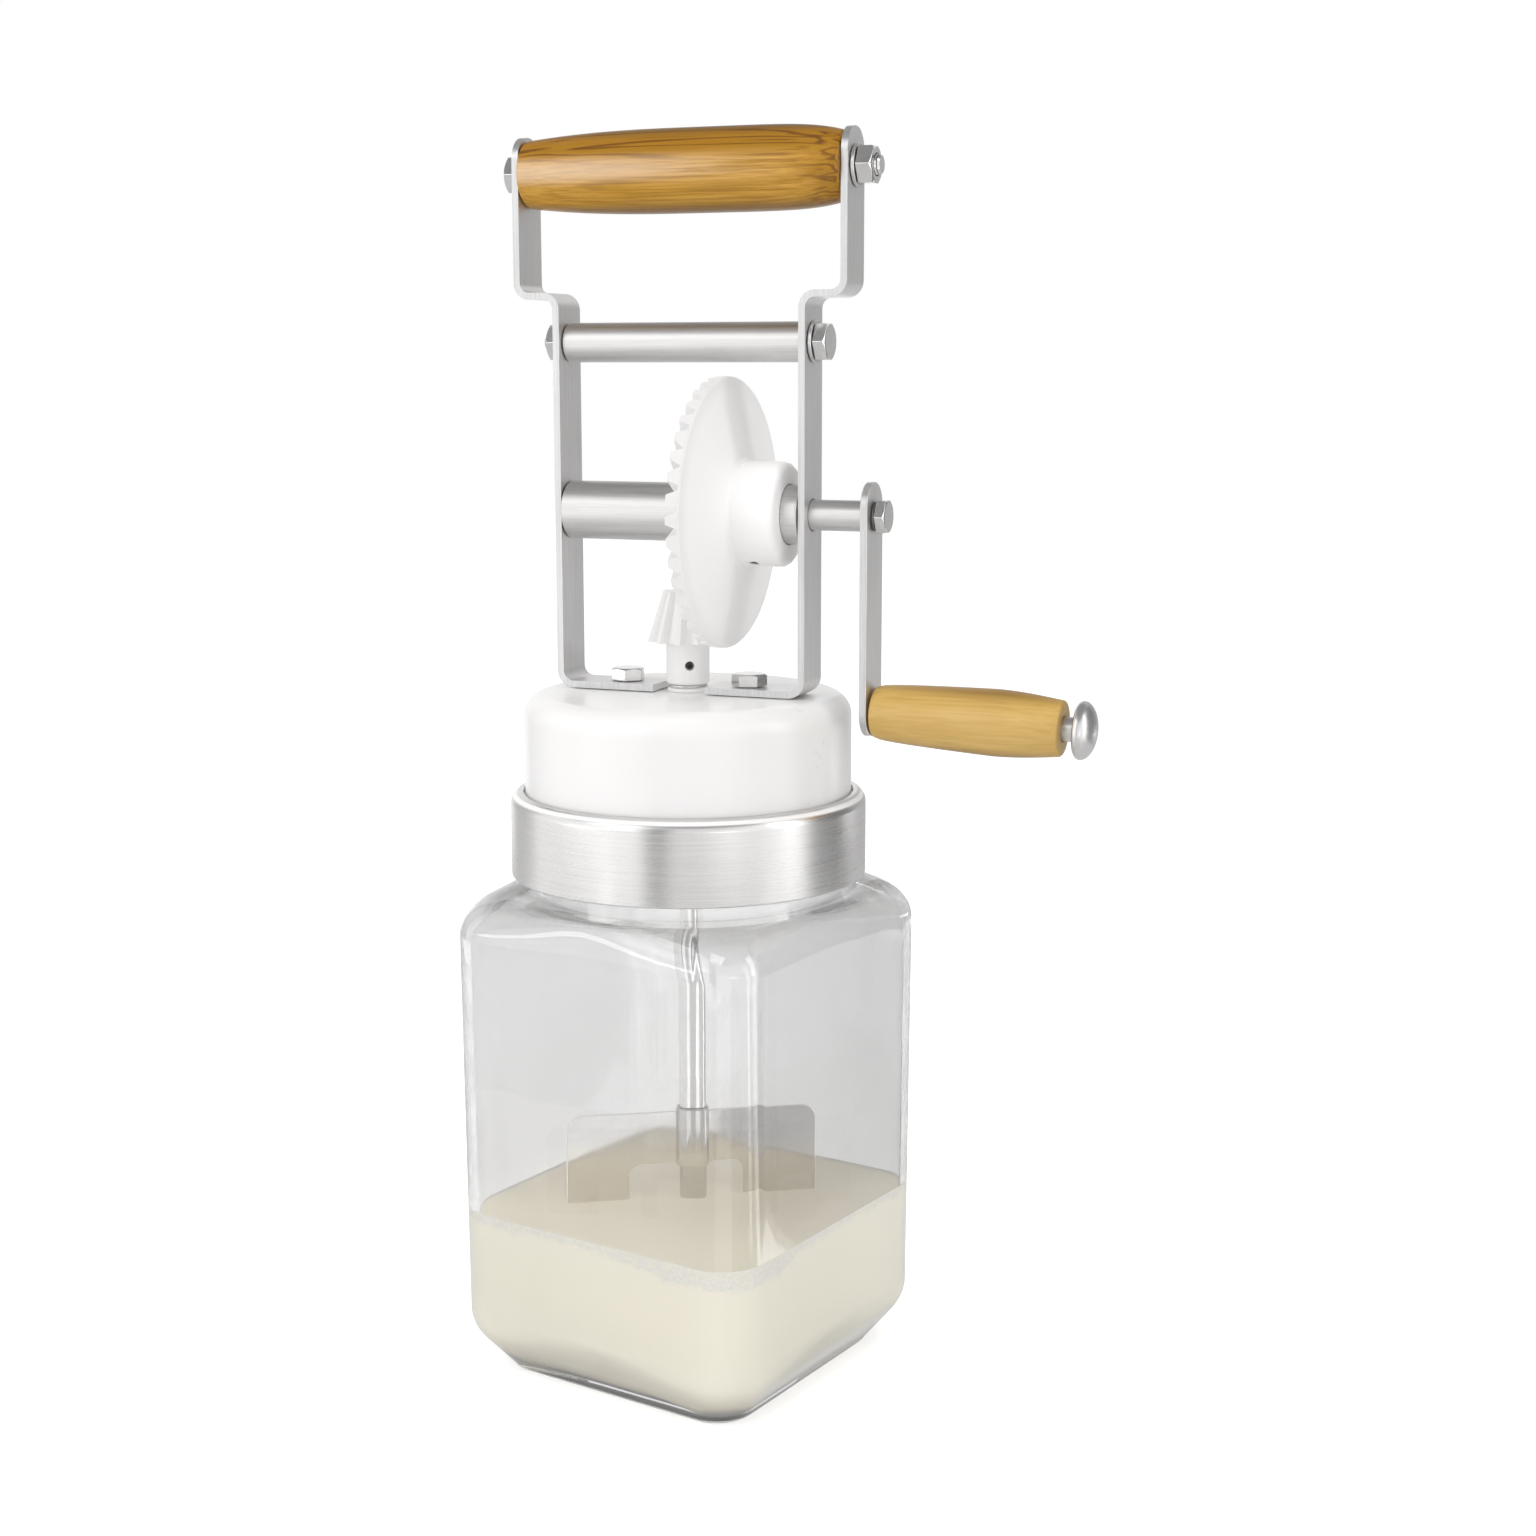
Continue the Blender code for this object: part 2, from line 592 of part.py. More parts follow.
def build_lid(head):
    bore = BUSH_RADIUS + FIT_GAP
    boss = bore + LID_BOSS_WALL
    inside = LID_RADIUS - LID_WALL
    under = LID_TOP - LID_TOP_THICKNESS
    edge = (LID_RADIUS - LID_EDGE_RADIUS, LID_TOP - LID_EDGE_RADIUS)
    inner_edge = (inside - LID_INNER_ROUND, under - LID_INNER_ROUND)
    outline = [(inside, FLANGE_BOTTOM), (LID_FLANGE_RADIUS, FLANGE_BOTTOM)]
    outline += [(LID_FLANGE_RADIUS, FLANGE_TOP), (LID_RADIUS, FLANGE_TOP)]
    outline += arc(edge, LID_EDGE_RADIUS, 0.0, 90.0, 2 * ARC_STEPS)
    outline += [(bore, LID_TOP), (bore, LID_TOP - LID_BOSS_DEPTH), (boss, LID_TOP - LID_BOSS_DEPTH)]
    outline += [(boss, under)]
    outline += arc(inner_edge, LID_INNER_ROUND, 90.0, 0.0)
    lid = add_piece("lid", turned(outline, LARGE_ROUND_STEPS, True), WHITE_PLASTIC, head)
    holes = []
    for side in (-1.0, 1.0):
        spot = Matrix.Translation((side * FOOT_BOLT_REACH, 0.0, 0.0))
        holes.append(cylinder_shape(FOOT_BOLT_RADIUS + FIT_GAP, under - CUT_OVERRUN,
                                    LID_TOP + CUT_OVERRUN, to_world=spot))
    combine(lid, merge_shapes(holes), "DIFFERENCE", "bolt_holes")


def strap_path(side):
    # Middle line of the strap in the XZ plane, from the foot's inner end to the rounded top
    lower = STRAP_LOWER_REACH - STRAP_THICKNESS / 2.0
    upper = STRAP_UPPER_REACH - STRAP_THICKNESS / 2.0
    foot = FOOT_BOTTOM + STRAP_THICKNESS / 2.0
    points = [((STRAP_FOOT_END, foot), 0.0)]
    points += [((lower, foot), STRAP_FOOT_BEND)]
    points += [((lower, STRAP_STEP_HEIGHT), STRAP_STEP_BEND)]
    points += [((upper, STRAP_STEP_HEIGHT), STRAP_STEP_BEND)]
    points += [((upper, STRAP_TOP), 0.0)]
    path = []
    for k, (corner, bend) in enumerate(points):
        if bend == 0.0:
            path.append(Vector(corner))
            continue
        here = Vector(corner)
        back = (Vector(points[k - 1][0]) - here).normalized()
        ahead = (Vector(points[k + 1][0]) - here).normalized()
        centre = here + (back + ahead) * bend
        for i in range(ARC_STEPS + 1):
            angle = pi / 2.0 * i / ARC_STEPS
            path.append(centre - ahead * bend * cos(angle) - back * bend * sin(angle))
    return [Vector((side * point.x, point.y)) for point in path]


def strap_shape(side):
    path = strap_path(side)
    half = STRAP_WIDTH / 2.0
    rings = []
    for k, point in enumerate(path):
        before = path[max(k - 1, 0)]
        after = path[min(k + 1, len(path) - 1)]
        along = (after - before).normalized()
        if 0 < k < len(path) - 1:
            bend_in = (point - before).normalized()
            bend_out = (after - point).normalized()
            along = (bend_in + bend_out).normalized()
        across = Vector((-along.y, along.x)) * STRAP_THICKNESS / 2.0
        ring = []
        for face, edge in ((-1, -1), (1, -1), (1, 1), (-1, 1)):
            spot = point + across * face
            ring.append((spot.x, edge * half, spot.y))
        rings.append(ring)
    shape = body_from_rings(rings)
    top_corners = []
    for edge in shape.edges:
        a, b = edge.verts
        at_top = min(a.co.z, b.co.z) > STRAP_TOP - FIT_GAP
        if at_top and abs(a.co.x - b.co.x) > STRAP_THICKNESS / 2.0:
            top_corners.append(edge)
    bmesh.ops.bevel(shape, geom=top_corners, offset=half - STRAP_TOP_FLAT / 2.0, segments=2 * ARC_STEPS,
                    profile=0.5, affect="EDGES")
    return shape


def build_strap(name, side, head):
    strap = add_piece(name, strap_shape(side), BRUSHED_STEEL, head)
    bolt_hole = BOLT_RADIUS + FIT_GAP
    through = STRAP_THICKNESS + CUT_OVERRUN
    cuts = []
    for reach, height, radius in (
        (STRAP_UPPER_REACH, HANDLE_HEIGHT, bolt_hole),
        (STRAP_LOWER_REACH, SPACER_HEIGHT, bolt_hole),
        (STRAP_LOWER_REACH, AXLE_HEIGHT, JOURNAL_RADIUS + FIT_GAP),
    ):
        start = side * (reach - STRAP_THICKNESS / 2.0)
        cuts.append(cylinder_shape(radius, -through, through, to_world=along_x(start, 0.0, height)))
    foot_bolt = Matrix.Translation((side * FOOT_BOLT_REACH, 0.0, FOOT_BOTTOM))
    foot_hole = FOOT_BOLT_RADIUS + FIT_GAP
    cuts.append(cylinder_shape(foot_hole, -CUT_OVERRUN, through, to_world=foot_bolt))
    combine(strap, merge_shapes(cuts), "DIFFERENCE", "holes")


def hex_bolt_shape(radius, length, flats, head_height):
    # The head stands above zero height and the shank hangs below it
    crown = flats / 2.0 * HEX_CROWN_SHARE
    rings = [
        circle_ring(radius - BOLT_TIP_CHAMFER, -length, HEXAGON_STEPS),
        circle_ring(radius, BOLT_TIP_CHAMFER - length, HEXAGON_STEPS),
        circle_ring(radius, 0.0, HEXAGON_STEPS),
        hexagon_ring(flats, 0.0),
        hexagon_ring(flats, head_height, crown),
        circle_ring(crown, head_height, HEXAGON_STEPS),
    ]
    return body_from_rings(rings)


def hex_nut_shape(bore, flats, height):
    # Crowned on the side away from the joint
    crown = flats / 2.0 * HEX_CROWN_SHARE
    rings = [
        circle_ring(bore, 0.0, HEXAGON_STEPS),
        hexagon_ring(flats, 0.0),
        hexagon_ring(flats, height, crown),
        circle_ring(crown, height, HEXAGON_STEPS),
        circle_ring(bore, height, HEXAGON_STEPS),
    ]
    return body_from_rings(rings, closed_loop=True)


def washer_shape(bore, radius, thickness):
    outline = [(bore, 0.0), (radius, 0.0), (radius, thickness), (bore, thickness)]
    return turned(outline, SMALL_ROUND_STEPS, True)


def build_foot_fasteners(head):
    hole = FOOT_BOLT_RADIUS + FIT_GAP
    washer_top = LID_TOP - LID_TOP_THICKNESS - FIT_GAP
    nut_top = washer_top - WASHER_THICKNESS - FIT_GAP
    head_bottom = FOOT_TOP + FIT_GAP
    length = head_bottom - nut_top + FOOT_NUT_HEIGHT + BOLT_TIP_PROUD
    for label, side, turn_degrees in (
        ("left", -1.0, LEFT_FOOT_BOLT_TURN_DEGREES),
        ("right", 1.0, RIGHT_FOOT_BOLT_TURN_DEGREES),
    ):
        x = side * FOOT_BOLT_REACH
        bolt = hex_bolt_shape(FOOT_BOLT_RADIUS, length, FOOT_BOLT_FLATS, FOOT_BOLT_HEAD_HEIGHT)
        add_piece("foot_bolt_" + label, bolt, POLISHED_STEEL, head, (x, 0.0, head_bottom),
                  (0.0, 0.0, radians(turn_degrees)))
        washer = washer_shape(hole, WASHER_RADIUS, WASHER_THICKNESS)
        washer_place = (x, 0.0, washer_top)
        add_piece("foot_washer_" + label, washer, BRUSHED_STEEL, head, washer_place, TURN_UPSIDE_DOWN)
        nut = hex_nut_shape(hole, FOOT_BOLT_FLATS, FOOT_NUT_HEIGHT)
        add_piece("foot_nut_" + label, nut, POLISHED_STEEL, head, (x, 0.0, nut_top), TURN_UPSIDE_DOWN)


def build_spacer(head):
    hole = BOLT_RADIUS + FIT_GAP
    half = LOWER_INSIDE - FIT_GAP
    outline = [(hole, -half), (SPACER_RADIUS - AXLE_EDGE, -half), (SPACER_RADIUS, AXLE_EDGE - half),
               (SPACER_RADIUS, half - AXLE_EDGE), (SPACER_RADIUS - AXLE_EDGE, half), (hole, half)]
    place = (0.0, 0.0, SPACER_HEIGHT)
    add_piece("spacer_tube", turned(outline, ROUND_STEPS, True), BRUSHED_STEEL, head, place, TURN_TO_X)
    washer_start = STRAP_LOWER_REACH + FIT_GAP
    head_start = washer_start + WASHER_THICKNESS + FIT_GAP
    length = head_start + washer_start + NUT_THIN_HEIGHT + BOLT_TIP_PROUD
    add_piece("spacer_washer", washer_shape(hole, WASHER_RADIUS, WASHER_THICKNESS), BRUSHED_STEEL, head,
              (washer_start, 0.0, SPACER_HEIGHT), TURN_TO_X)
    bolt = hex_bolt_shape(BOLT_RADIUS, length, BOLT_HEAD_FLATS, BOLT_HEAD_HEIGHT)
    add_piece("spacer_bolt", bolt, POLISHED_STEEL, head, (head_start, 0.0, SPACER_HEIGHT), TURN_TO_X)
    nut = hex_nut_shape(hole, BOLT_HEAD_FLATS, NUT_THIN_HEIGHT)
    add_piece("spacer_nut", nut, POLISHED_STEEL, head, (-washer_start, 0.0, SPACER_HEIGHT), TURN_TO_MINUS_X)


def barrel_half(power):
    # (radius, distance from the middle), drawn in towards the end and rounded over its edge
    end = UPPER_INSIDE - FIT_GAP
    reach = end - HANDLE_EDGE_ROUND
    steps = ARC_STEPS + 2
    half = []
    for i in range(steps):
        share = sin(pi / 2.0 * i / steps)
        half.append((HANDLE_RADIUS - (HANDLE_RADIUS - HANDLE_END_RADIUS) * share ** power, reach * share))
    return half + arc((HANDLE_END_RADIUS - HANDLE_EDGE_ROUND, reach), HANDLE_EDGE_ROUND, 0.0, 90.0, 3)


def handle_outline(bore):
    # The crank end keeps its thickness longer than the other end
    end = UPPER_INSIDE - FIT_GAP
    left = [(r, -h) for r, h in barrel_half(HANDLE_LEFT_POWER)]
    return [(bore, -end)] + left[:0:-1] + barrel_half(HANDLE_RIGHT_POWER) + [(bore, end)]


def build_handle(head):
    hole = BOLT_RADIUS + FIT_GAP
    place = (0.0, 0.0, HANDLE_HEIGHT)
    grip = turned(handle_outline(hole), ROUND_STEPS, True)
    add_piece("handle_grip", grip, HANDLE_WOOD, head, place, TURN_TO_X)
    outside = STRAP_UPPER_REACH + FIT_GAP
    nut_start = outside + WASHER_THICKNESS + FIT_GAP
    length = outside + nut_start + NUT_HEIGHT + BOLT_TIP_PROUD
    bolt = hex_bolt_shape(BOLT_RADIUS, length, BOLT_HEAD_FLATS, BOLT_HEAD_HEIGHT)
    add_piece("handle_bolt", bolt, POLISHED_STEEL, head, (-outside, 0.0, HANDLE_HEIGHT), TURN_TO_MINUS_X)
    add_piece("handle_washer", washer_shape(hole, WASHER_RADIUS, WASHER_THICKNESS), BRUSHED_STEEL, head,
              (outside, 0.0, HANDLE_HEIGHT), TURN_TO_X)
    nut = hex_nut_shape(hole, BOLT_HEAD_FLATS, NUT_HEIGHT)
    add_piece("handle_nut", nut, POLISHED_STEEL, head, (nut_start, 0.0, HANDLE_HEIGHT), TURN_TO_X)


def build_axle(crank):
    # The thick middle turns between the straps on two thinner journals; the crank end is drilled
    shoulder = LOWER_INSIDE - FIT_GAP
    hole = CRANK_BOLT_RADIUS + FIT_GAP
    outline = [(0.0, -STRAP_LOWER_REACH), (JOURNAL_RADIUS, -STRAP_LOWER_REACH), (JOURNAL_RADIUS, -shoulder)]
    outline += [(AXLE_RADIUS - AXLE_EDGE, -shoulder), (AXLE_RADIUS, AXLE_EDGE - shoulder)]
    outline += [(AXLE_RADIUS, shoulder - AXLE_EDGE), (AXLE_RADIUS - AXLE_EDGE, shoulder)]
    outline += [(JOURNAL_RADIUS, shoulder), (JOURNAL_RADIUS, JOURNAL_REACH), (hole, JOURNAL_REACH)]
    outline += [(hole, JOURNAL_REACH - CRANK_BOLT_HOLE_DEPTH), (0.0, JOURNAL_REACH - CRANK_BOLT_HOLE_DEPTH)]
    place = (0.0, 0.0, AXLE_HEIGHT)
    add_piece("crank_axle", turned(outline, ROUND_STEPS), BRUSHED_STEEL, crank, place, TURN_TO_X)


def build_crank_arm(crank):
    half = CRANK_ARM_WIDTH / 2.0
    top_centre = AXLE_HEIGHT + CRANK_ARM_TOP_EXTRA
    outline = arc((0.0, top_centre), half, 0.0, 180.0, 2 * ARC_STEPS)
    outline += arc((0.0, PIN_HEIGHT), half, 180.0, 360.0, 2 * ARC_STEPS)
    outline = [(y, z - AXLE_HEIGHT) for y, z in outline]
    arm = add_piece("crank_arm", plate(outline, CRANK_ARM_THICKNESS), BRUSHED_STEEL, crank,
                    (ARM_INNER, 0.0, AXLE_HEIGHT))
    through = CRANK_ARM_THICKNESS + CUT_OVERRUN
    cuts = []
    for radius, height in ((CRANK_BOLT_RADIUS, 0.0), (PIN_TENON_RADIUS, -CRANK_RADIUS)):
        spot = along_x(0.0, 0.0, height)
        cuts.append(cylinder_shape(radius + FIT_GAP, -CUT_OVERRUN, through, to_world=spot))
    combine(arm, merge_shapes(cuts), "DIFFERENCE", "holes")
    washer_start = ARM_OUTER + FIT_GAP
    washer = washer_shape(CRANK_BOLT_RADIUS + FIT_GAP, CRANK_WASHER_RADIUS, CRANK_WASHER_THICKNESS)
    add_piece("crank_washer", washer, BRUSHED_STEEL, crank, (washer_start, 0.0, AXLE_HEIGHT), TURN_TO_X)
    head_start = washer_start + CRANK_WASHER_THICKNESS + FIT_GAP
    reach = head_start - JOURNAL_REACH + CRANK_BOLT_LENGTH
    bolt = hex_bolt_shape(CRANK_BOLT_RADIUS, reach, CRANK_BOLT_FLATS, CRANK_BOLT_HEAD_HEIGHT)
    add_piece("crank_bolt", bolt, POLISHED_STEEL, crank, (head_start, 0.0, AXLE_HEIGHT), TURN_TO_X)


def grip_radius(share):
    # A barrel that swells quickly at the arm and is widest past its middle
    if share < GRIP_WIDE_PLACE_SHARE:
        rise = (share / GRIP_WIDE_PLACE_SHARE) ** GRIP_NEAR_POWER
        return GRIP_NEAR_RADIUS + (GRIP_WIDE_RADIUS - GRIP_NEAR_RADIUS) * rise
    fall = 1.0 - cos(pi / 2.0 * (share - GRIP_WIDE_PLACE_SHARE) / (1.0 - GRIP_WIDE_PLACE_SHARE))
    return GRIP_WIDE_RADIUS - (GRIP_WIDE_RADIUS - GRIP_FAR_RADIUS) * fall


def build_crank_grip(grip_axis, crank):
    bore = PIN_RADIUS + FIT_GAP
    steps = 3 * ARC_STEPS
    droop = (0.0, pi / 2.0 + radians(PIN_DROOP_DEGREES), 0.0)
    outline = [(bore, 0.0), (GRIP_NEAR_RADIUS - GRIP_EDGE_ROUND, 0.0)]
    for i in range(steps + 1):
        share = i / steps
        height = GRIP_EDGE_ROUND + (GRIP_LENGTH - 2.0 * GRIP_EDGE_ROUND) * share
        outline.append((grip_radius(share), height))
    outline += [(GRIP_FAR_RADIUS - GRIP_EDGE_ROUND, GRIP_LENGTH), (bore, GRIP_LENGTH)]
    along = Vector((cos(radians(PIN_DROOP_DEGREES)), 0.0, -sin(radians(PIN_DROOP_DEGREES))))
    pin_place = Vector((ARM_INNER, 0.0, PIN_HEIGHT))
    grip_place = pin_place + along * (GRIP_START - ARM_INNER)
    add_piece("crank_grip", turned(outline, ROUND_STEPS, True), GRIP_WOOD, grip_axis, grip_place, droop)
    # The pin is riveted into the arm at its thin end, hangs a little from square with the arm, and
    # keeps the grip on with a domed head
    shoulder = FIT_GAP + CRANK_ARM_THICKNESS
    neck_end = PIN_HEAD_START - ARM_INNER
    dome_start = neck_end + PIN_HEAD_EDGE * 1.5
    pin = [(0.0, 0.0), (PIN_TENON_RADIUS, 0.0), (PIN_TENON_RADIUS, shoulder), (PIN_RADIUS, shoulder)]
    pin += [(PIN_RADIUS, neck_end), (PIN_HEAD_RADIUS - PIN_HEAD_EDGE, neck_end + PIN_HEAD_EDGE / 2.0)]
    dome_height = PIN_HEAD_HEIGHT - PIN_HEAD_EDGE * 1.5
    dome_steps = ARC_STEPS + 2
    for i in range(dome_steps):
        angle = pi / 2.0 * i / dome_steps
        pin.append((PIN_HEAD_RADIUS * cos(angle), dome_start + dome_height * sin(angle)))
    pin.append((0.0, dome_start + dome_height))
    add_piece("grip_pin", turned(pin, ROUND_STEPS), POLISHED_STEEL, crank, pin_place, droop)


def cone_loop(teeth, pitch_radius, pitch_depth, tooth, cut_radius=None, cut_depth=None):
    # Tooth outline points are (offset off the pitch cone, angle from the tooth's middle). Each is
    # drawn along its ray from the cones' apex until it meets a cylinder or a flat end.
    cone = hypot(pitch_radius, pitch_depth)
    ring = []
    for k in range(teeth):
        for offset, angle in tooth:
            radius = pitch_radius + offset * pitch_depth / cone
            depth = pitch_depth - offset * pitch_radius / cone
            scale = cut_radius / radius if cut_radius is not None else cut_depth / depth
            spoke = 2.0 * pi * k / teeth + angle
            ring.append((scale * radius * cos(spoke), scale * radius * sin(spoke), scale * depth))
    return ring


def gear_tooth():
    # Straight flanks: the large gear is nearly a rack
    pressure = tan(radians(TOOTH_PRESSURE_DEGREES))
    half = pi * GEAR_MODULE / 4.0 - TOOTH_BACKLASH / 4.0
    tip = GEAR_MODULE * GEAR_ADDENDUM_SHARE
    root = -GEAR_MODULE * GEAR_DEDENDUM_SHARE
    tooth = []
    for offset, side in ((root, -1.0), (tip, -1.0), (tip, 1.0), (root, 1.0)):
        tooth.append((offset, side * (half - offset * pressure) / GEAR_PITCH_RADIUS))
    return tooth


def pinion_tooth():
    # Involute flanks on the back cone, with radial flanks below the base circle
    cone = hypot(PINION_PITCH_RADIUS, GEAR_PITCH_RADIUS)
    widen = cone / GEAR_PITCH_RADIUS
    pitch = PINION_PITCH_RADIUS * widen
    base = pitch * cos(radians(TOOTH_PRESSURE_DEGREES))
    tip = GEAR_MODULE * PINION_ADDENDUM_SHARE
    root = -GEAR_MODULE * PINION_DEDENDUM_SHARE
    thickness = (pi * GEAR_MODULE / 2.0 - TOOTH_BACKLASH / 2.0) / (2.0 * pitch)

    def involute(radius):
        lean = acos(base / radius)
        return tan(lean) - lean

    offsets = [root, base - pitch]
    flank_steps = ARC_STEPS - 1
    for i in range(1, flank_steps + 1):
        offsets.append(base - pitch + (tip - base + pitch) * i / flank_steps)
    rising = []
    for offset in offsets:
        angle = thickness + involute(pitch)
        if pitch + offset > base:
            angle = angle - involute(pitch + offset)
        rising.append((offset, -angle * widen))
    return rising + [(offset, -angle) for offset, angle in reversed(rising)]


def half_pitch_later(tooth, teeth):
    return [(offset, angle + pi / teeth) for offset, angle in tooth]


def radial_cut(radius, turn_degrees, distance, height):
    # A hole bored from the middle outwards at one height
    tilt = Matrix.Rotation(radians(turn_degrees), 4, "Z") @ along_x(0.0, 0.0, height)
    return cylinder_shape(radius, 0.0, distance, to_world=tilt)


def build_drive_gear(crank):
    # Own Z runs along the axle towards the crank; the apex of the pitch cones is the origin
    tooth = gear_tooth()
    bore = AXLE_RADIUS + FIT_GAP
    wide = LARGE_ROUND_STEPS
    narrow = ROUND_STEPS
    inner_radius = GEAR_PITCH_RADIUS * TOOTH_INNER_SHARE
    rim = [GEAR_TEETH, GEAR_PITCH_RADIUS, PINION_PITCH_RADIUS, tooth]
    rings = [
        cone_loop(*rim, cut_radius=GEAR_RADIUS),
        cone_loop(*rim, cut_radius=inner_radius),
        circle_ring(inner_radius - GEAR_WEB_ROUND, GEAR_WEB_FRONT, wide),
        circle_ring(bore, GEAR_WEB_FRONT, narrow),
        circle_ring(bore, GEAR_HUB_END, narrow),
        circle_ring(GEAR_HUB_RADIUS - GEAR_HUB_ROUND, GEAR_HUB_END, narrow),
    ]
    hub_bend = (GEAR_HUB_RADIUS - GEAR_HUB_ROUND, GEAR_HUB_END - GEAR_HUB_ROUND)
    for radius, height in arc(hub_bend, GEAR_HUB_ROUND, 60.0, 0.0, 3):
        rings.append(circle_ring(radius, height, narrow))
    rings += [
        circle_ring(GEAR_HUB_RADIUS, GEAR_CONE_TOP + GEAR_WEB_ROUND, narrow),
        circle_ring(GEAR_HUB_RADIUS + GEAR_WEB_ROUND, GEAR_CONE_TOP, narrow),
        circle_ring(GEAR_RADIUS - GEAR_RIM_EDGE, GEAR_RIM_BACK, wide),
        circle_ring(GEAR_RADIUS, GEAR_RIM_BACK - GEAR_RIM_EDGE, wide),
    ]
    gear = add_piece("drive_gear", body_from_rings(rings, closed_loop=True), WHITE_PLASTIC, crank,
                     (0.0, 0.0, AXLE_HEIGHT), TURN_TO_X)
    hole = SET_SCREW_RADIUS + FIT_GAP
    cut = radial_cut(hole, GEAR_SCREW_TURN_DEGREES, GEAR_HUB_RADIUS + CUT_OVERRUN, GEAR_SCREW_REACH)
    combine(gear, cut, "DIFFERENCE", "screw_hole")


def set_screw_shape(length):
    socket_flats = 2.0 * SET_SCREW_SOCKET_RADIUS
    rings = [
        circle_ring(SET_SCREW_RADIUS, 0.0, HEXAGON_STEPS),
        circle_ring(SET_SCREW_RADIUS, length, HEXAGON_STEPS),
        hexagon_ring(socket_flats, length),
        hexagon_ring(socket_flats, length - SET_SCREW_SOCKET_DEPTH),
    ]
    return body_from_rings(rings)


def build_gear_set_screw(crank):
    # It points from the axle out through the hub, in the gear's own turned frame
    turn = radians(GEAR_SCREW_TURN_DEGREES)
    outwards = Vector((0.0, sin(turn), -cos(turn)))
    start = outwards * (AXLE_RADIUS + FIT_GAP)
    place = Vector((GEAR_SCREW_REACH, 0.0, AXLE_HEIGHT)) + start
    euler = Vector((0.0, 0.0, 1.0)).rotation_difference(outwards).to_euler()
    screw = set_screw_shape(GEAR_SET_SCREW_LENGTH)
    add_piece("gear_set_screw", screw, BRUSHED_STEEL, crank, place, euler)


def build_pinion(dasher):
    # Own Z runs down from the apex, where the axle's and the shaft's axes cross
    tooth = half_pitch_later(pinion_tooth(), PINION_TEETH)
    bore = SHAFT_RADIUS + FIT_GAP
    cone = hypot(GEAR_PITCH_RADIUS, PINION_PITCH_RADIUS)
    large_end = GEAR_PITCH_RADIUS - GEAR_MODULE * PINION_ADDENDUM_SHARE * PINION_PITCH_RADIUS / cone
    small_end = GEAR_PITCH_RADIUS * TOOTH_INNER_SHARE
    bottom = AXLE_HEIGHT - PINION_BOTTOM
    leaves = [PINION_TEETH, PINION_PITCH_RADIUS, GEAR_PITCH_RADIUS, tooth]
    steps = ROUND_STEPS
    rings = [
        cone_loop(*leaves, cut_depth=large_end),
        cone_loop(*leaves, cut_depth=small_end),
        circle_ring(bore, small_end, steps),
        circle_ring(bore, bottom, steps),
        circle_ring(PINION_HUB_RADIUS - PINION_HUB_EDGE, bottom, steps),
        circle_ring(PINION_HUB_RADIUS, bottom - PINION_HUB_EDGE, steps),
        circle_ring(PINION_HUB_RADIUS, large_end, steps),
    ]
    shape = body_from_rings(rings, closed_loop=True)
    pinion = add_piece("pinion", shape, WHITE_PLASTIC, dasher, (0.0, 0.0, AXLE_HEIGHT), TURN_UPSIDE_DOWN)
    hole = SET_SCREW_RADIUS + FIT_GAP
    cut = radial_cut(hole, -PINION_SCREW_TURN_DEGREES, PINION_HUB_RADIUS + CUT_OVERRUN,
                     bottom - PINION_SCREW_HEIGHT)
    combine(pinion, cut, "DIFFERENCE", "screw_hole")


def build_pinion_set_screw(dasher):
    turn = radians(PINION_SCREW_TURN_DEGREES)
    outwards = Vector((cos(turn), sin(turn), 0.0))
    place = Vector((0.0, 0.0, PINION_BOTTOM + PINION_SCREW_HEIGHT)) + outwards * (SHAFT_RADIUS + FIT_GAP)
    euler = Vector((0.0, 0.0, 1.0)).rotation_difference(outwards).to_euler()
    screw = set_screw_shape(PINION_SET_SCREW_LENGTH)
    add_piece("pinion_set_screw", screw, BRUSHED_STEEL, dasher, place, euler)


def build_shaft(dasher):
    top = AXLE_HEIGHT - GEAR_PITCH_RADIUS * TOOTH_INNER_SHARE - SHAFT_TOP_SINK
    narrow = SHAFT_RADIUS - SHAFT_CHAMFER
    outline = [(0.0, SHAFT_END_HEIGHT), (narrow, SHAFT_END_HEIGHT)]
    outline += [(SHAFT_RADIUS, SHAFT_END_HEIGHT + SHAFT_CHAMFER)]
    outline += [(SHAFT_RADIUS, top - SHAFT_CHAMFER), (narrow, top), (0.0, top)]
    add_piece("paddle_shaft", turned(outline, SMALL_ROUND_STEPS), POLISHED_STEEL, dasher)
    bore = SHAFT_RADIUS + FIT_GAP
    washer = washer_shape(bore, THRUST_WASHER_RADIUS, THRUST_WASHER_THICKNESS)
    add_piece("thrust_washer", washer, BRUSHED_STEEL, dasher, (0.0, 0.0, THRUST_WASHER_BOTTOM))


def build_shaft_bush(head):
    bore = SHAFT_RADIUS + FIT_GAP
    bottom = LID_TOP - LID_BOSS_DEPTH - BUSH_TAIL
    seat = LID_TOP + FIT_GAP
    outline = [(bore, bottom), (BUSH_RADIUS, bottom), (BUSH_RADIUS, seat), (BUSH_FLANGE_RADIUS, seat)]
    outline += [(BUSH_FLANGE_RADIUS, BUSH_TOP), (bore, BUSH_TOP)]
    add_piece("shaft_bush", turned(outline, ROUND_STEPS, True), WHITE_PLASTIC, head)


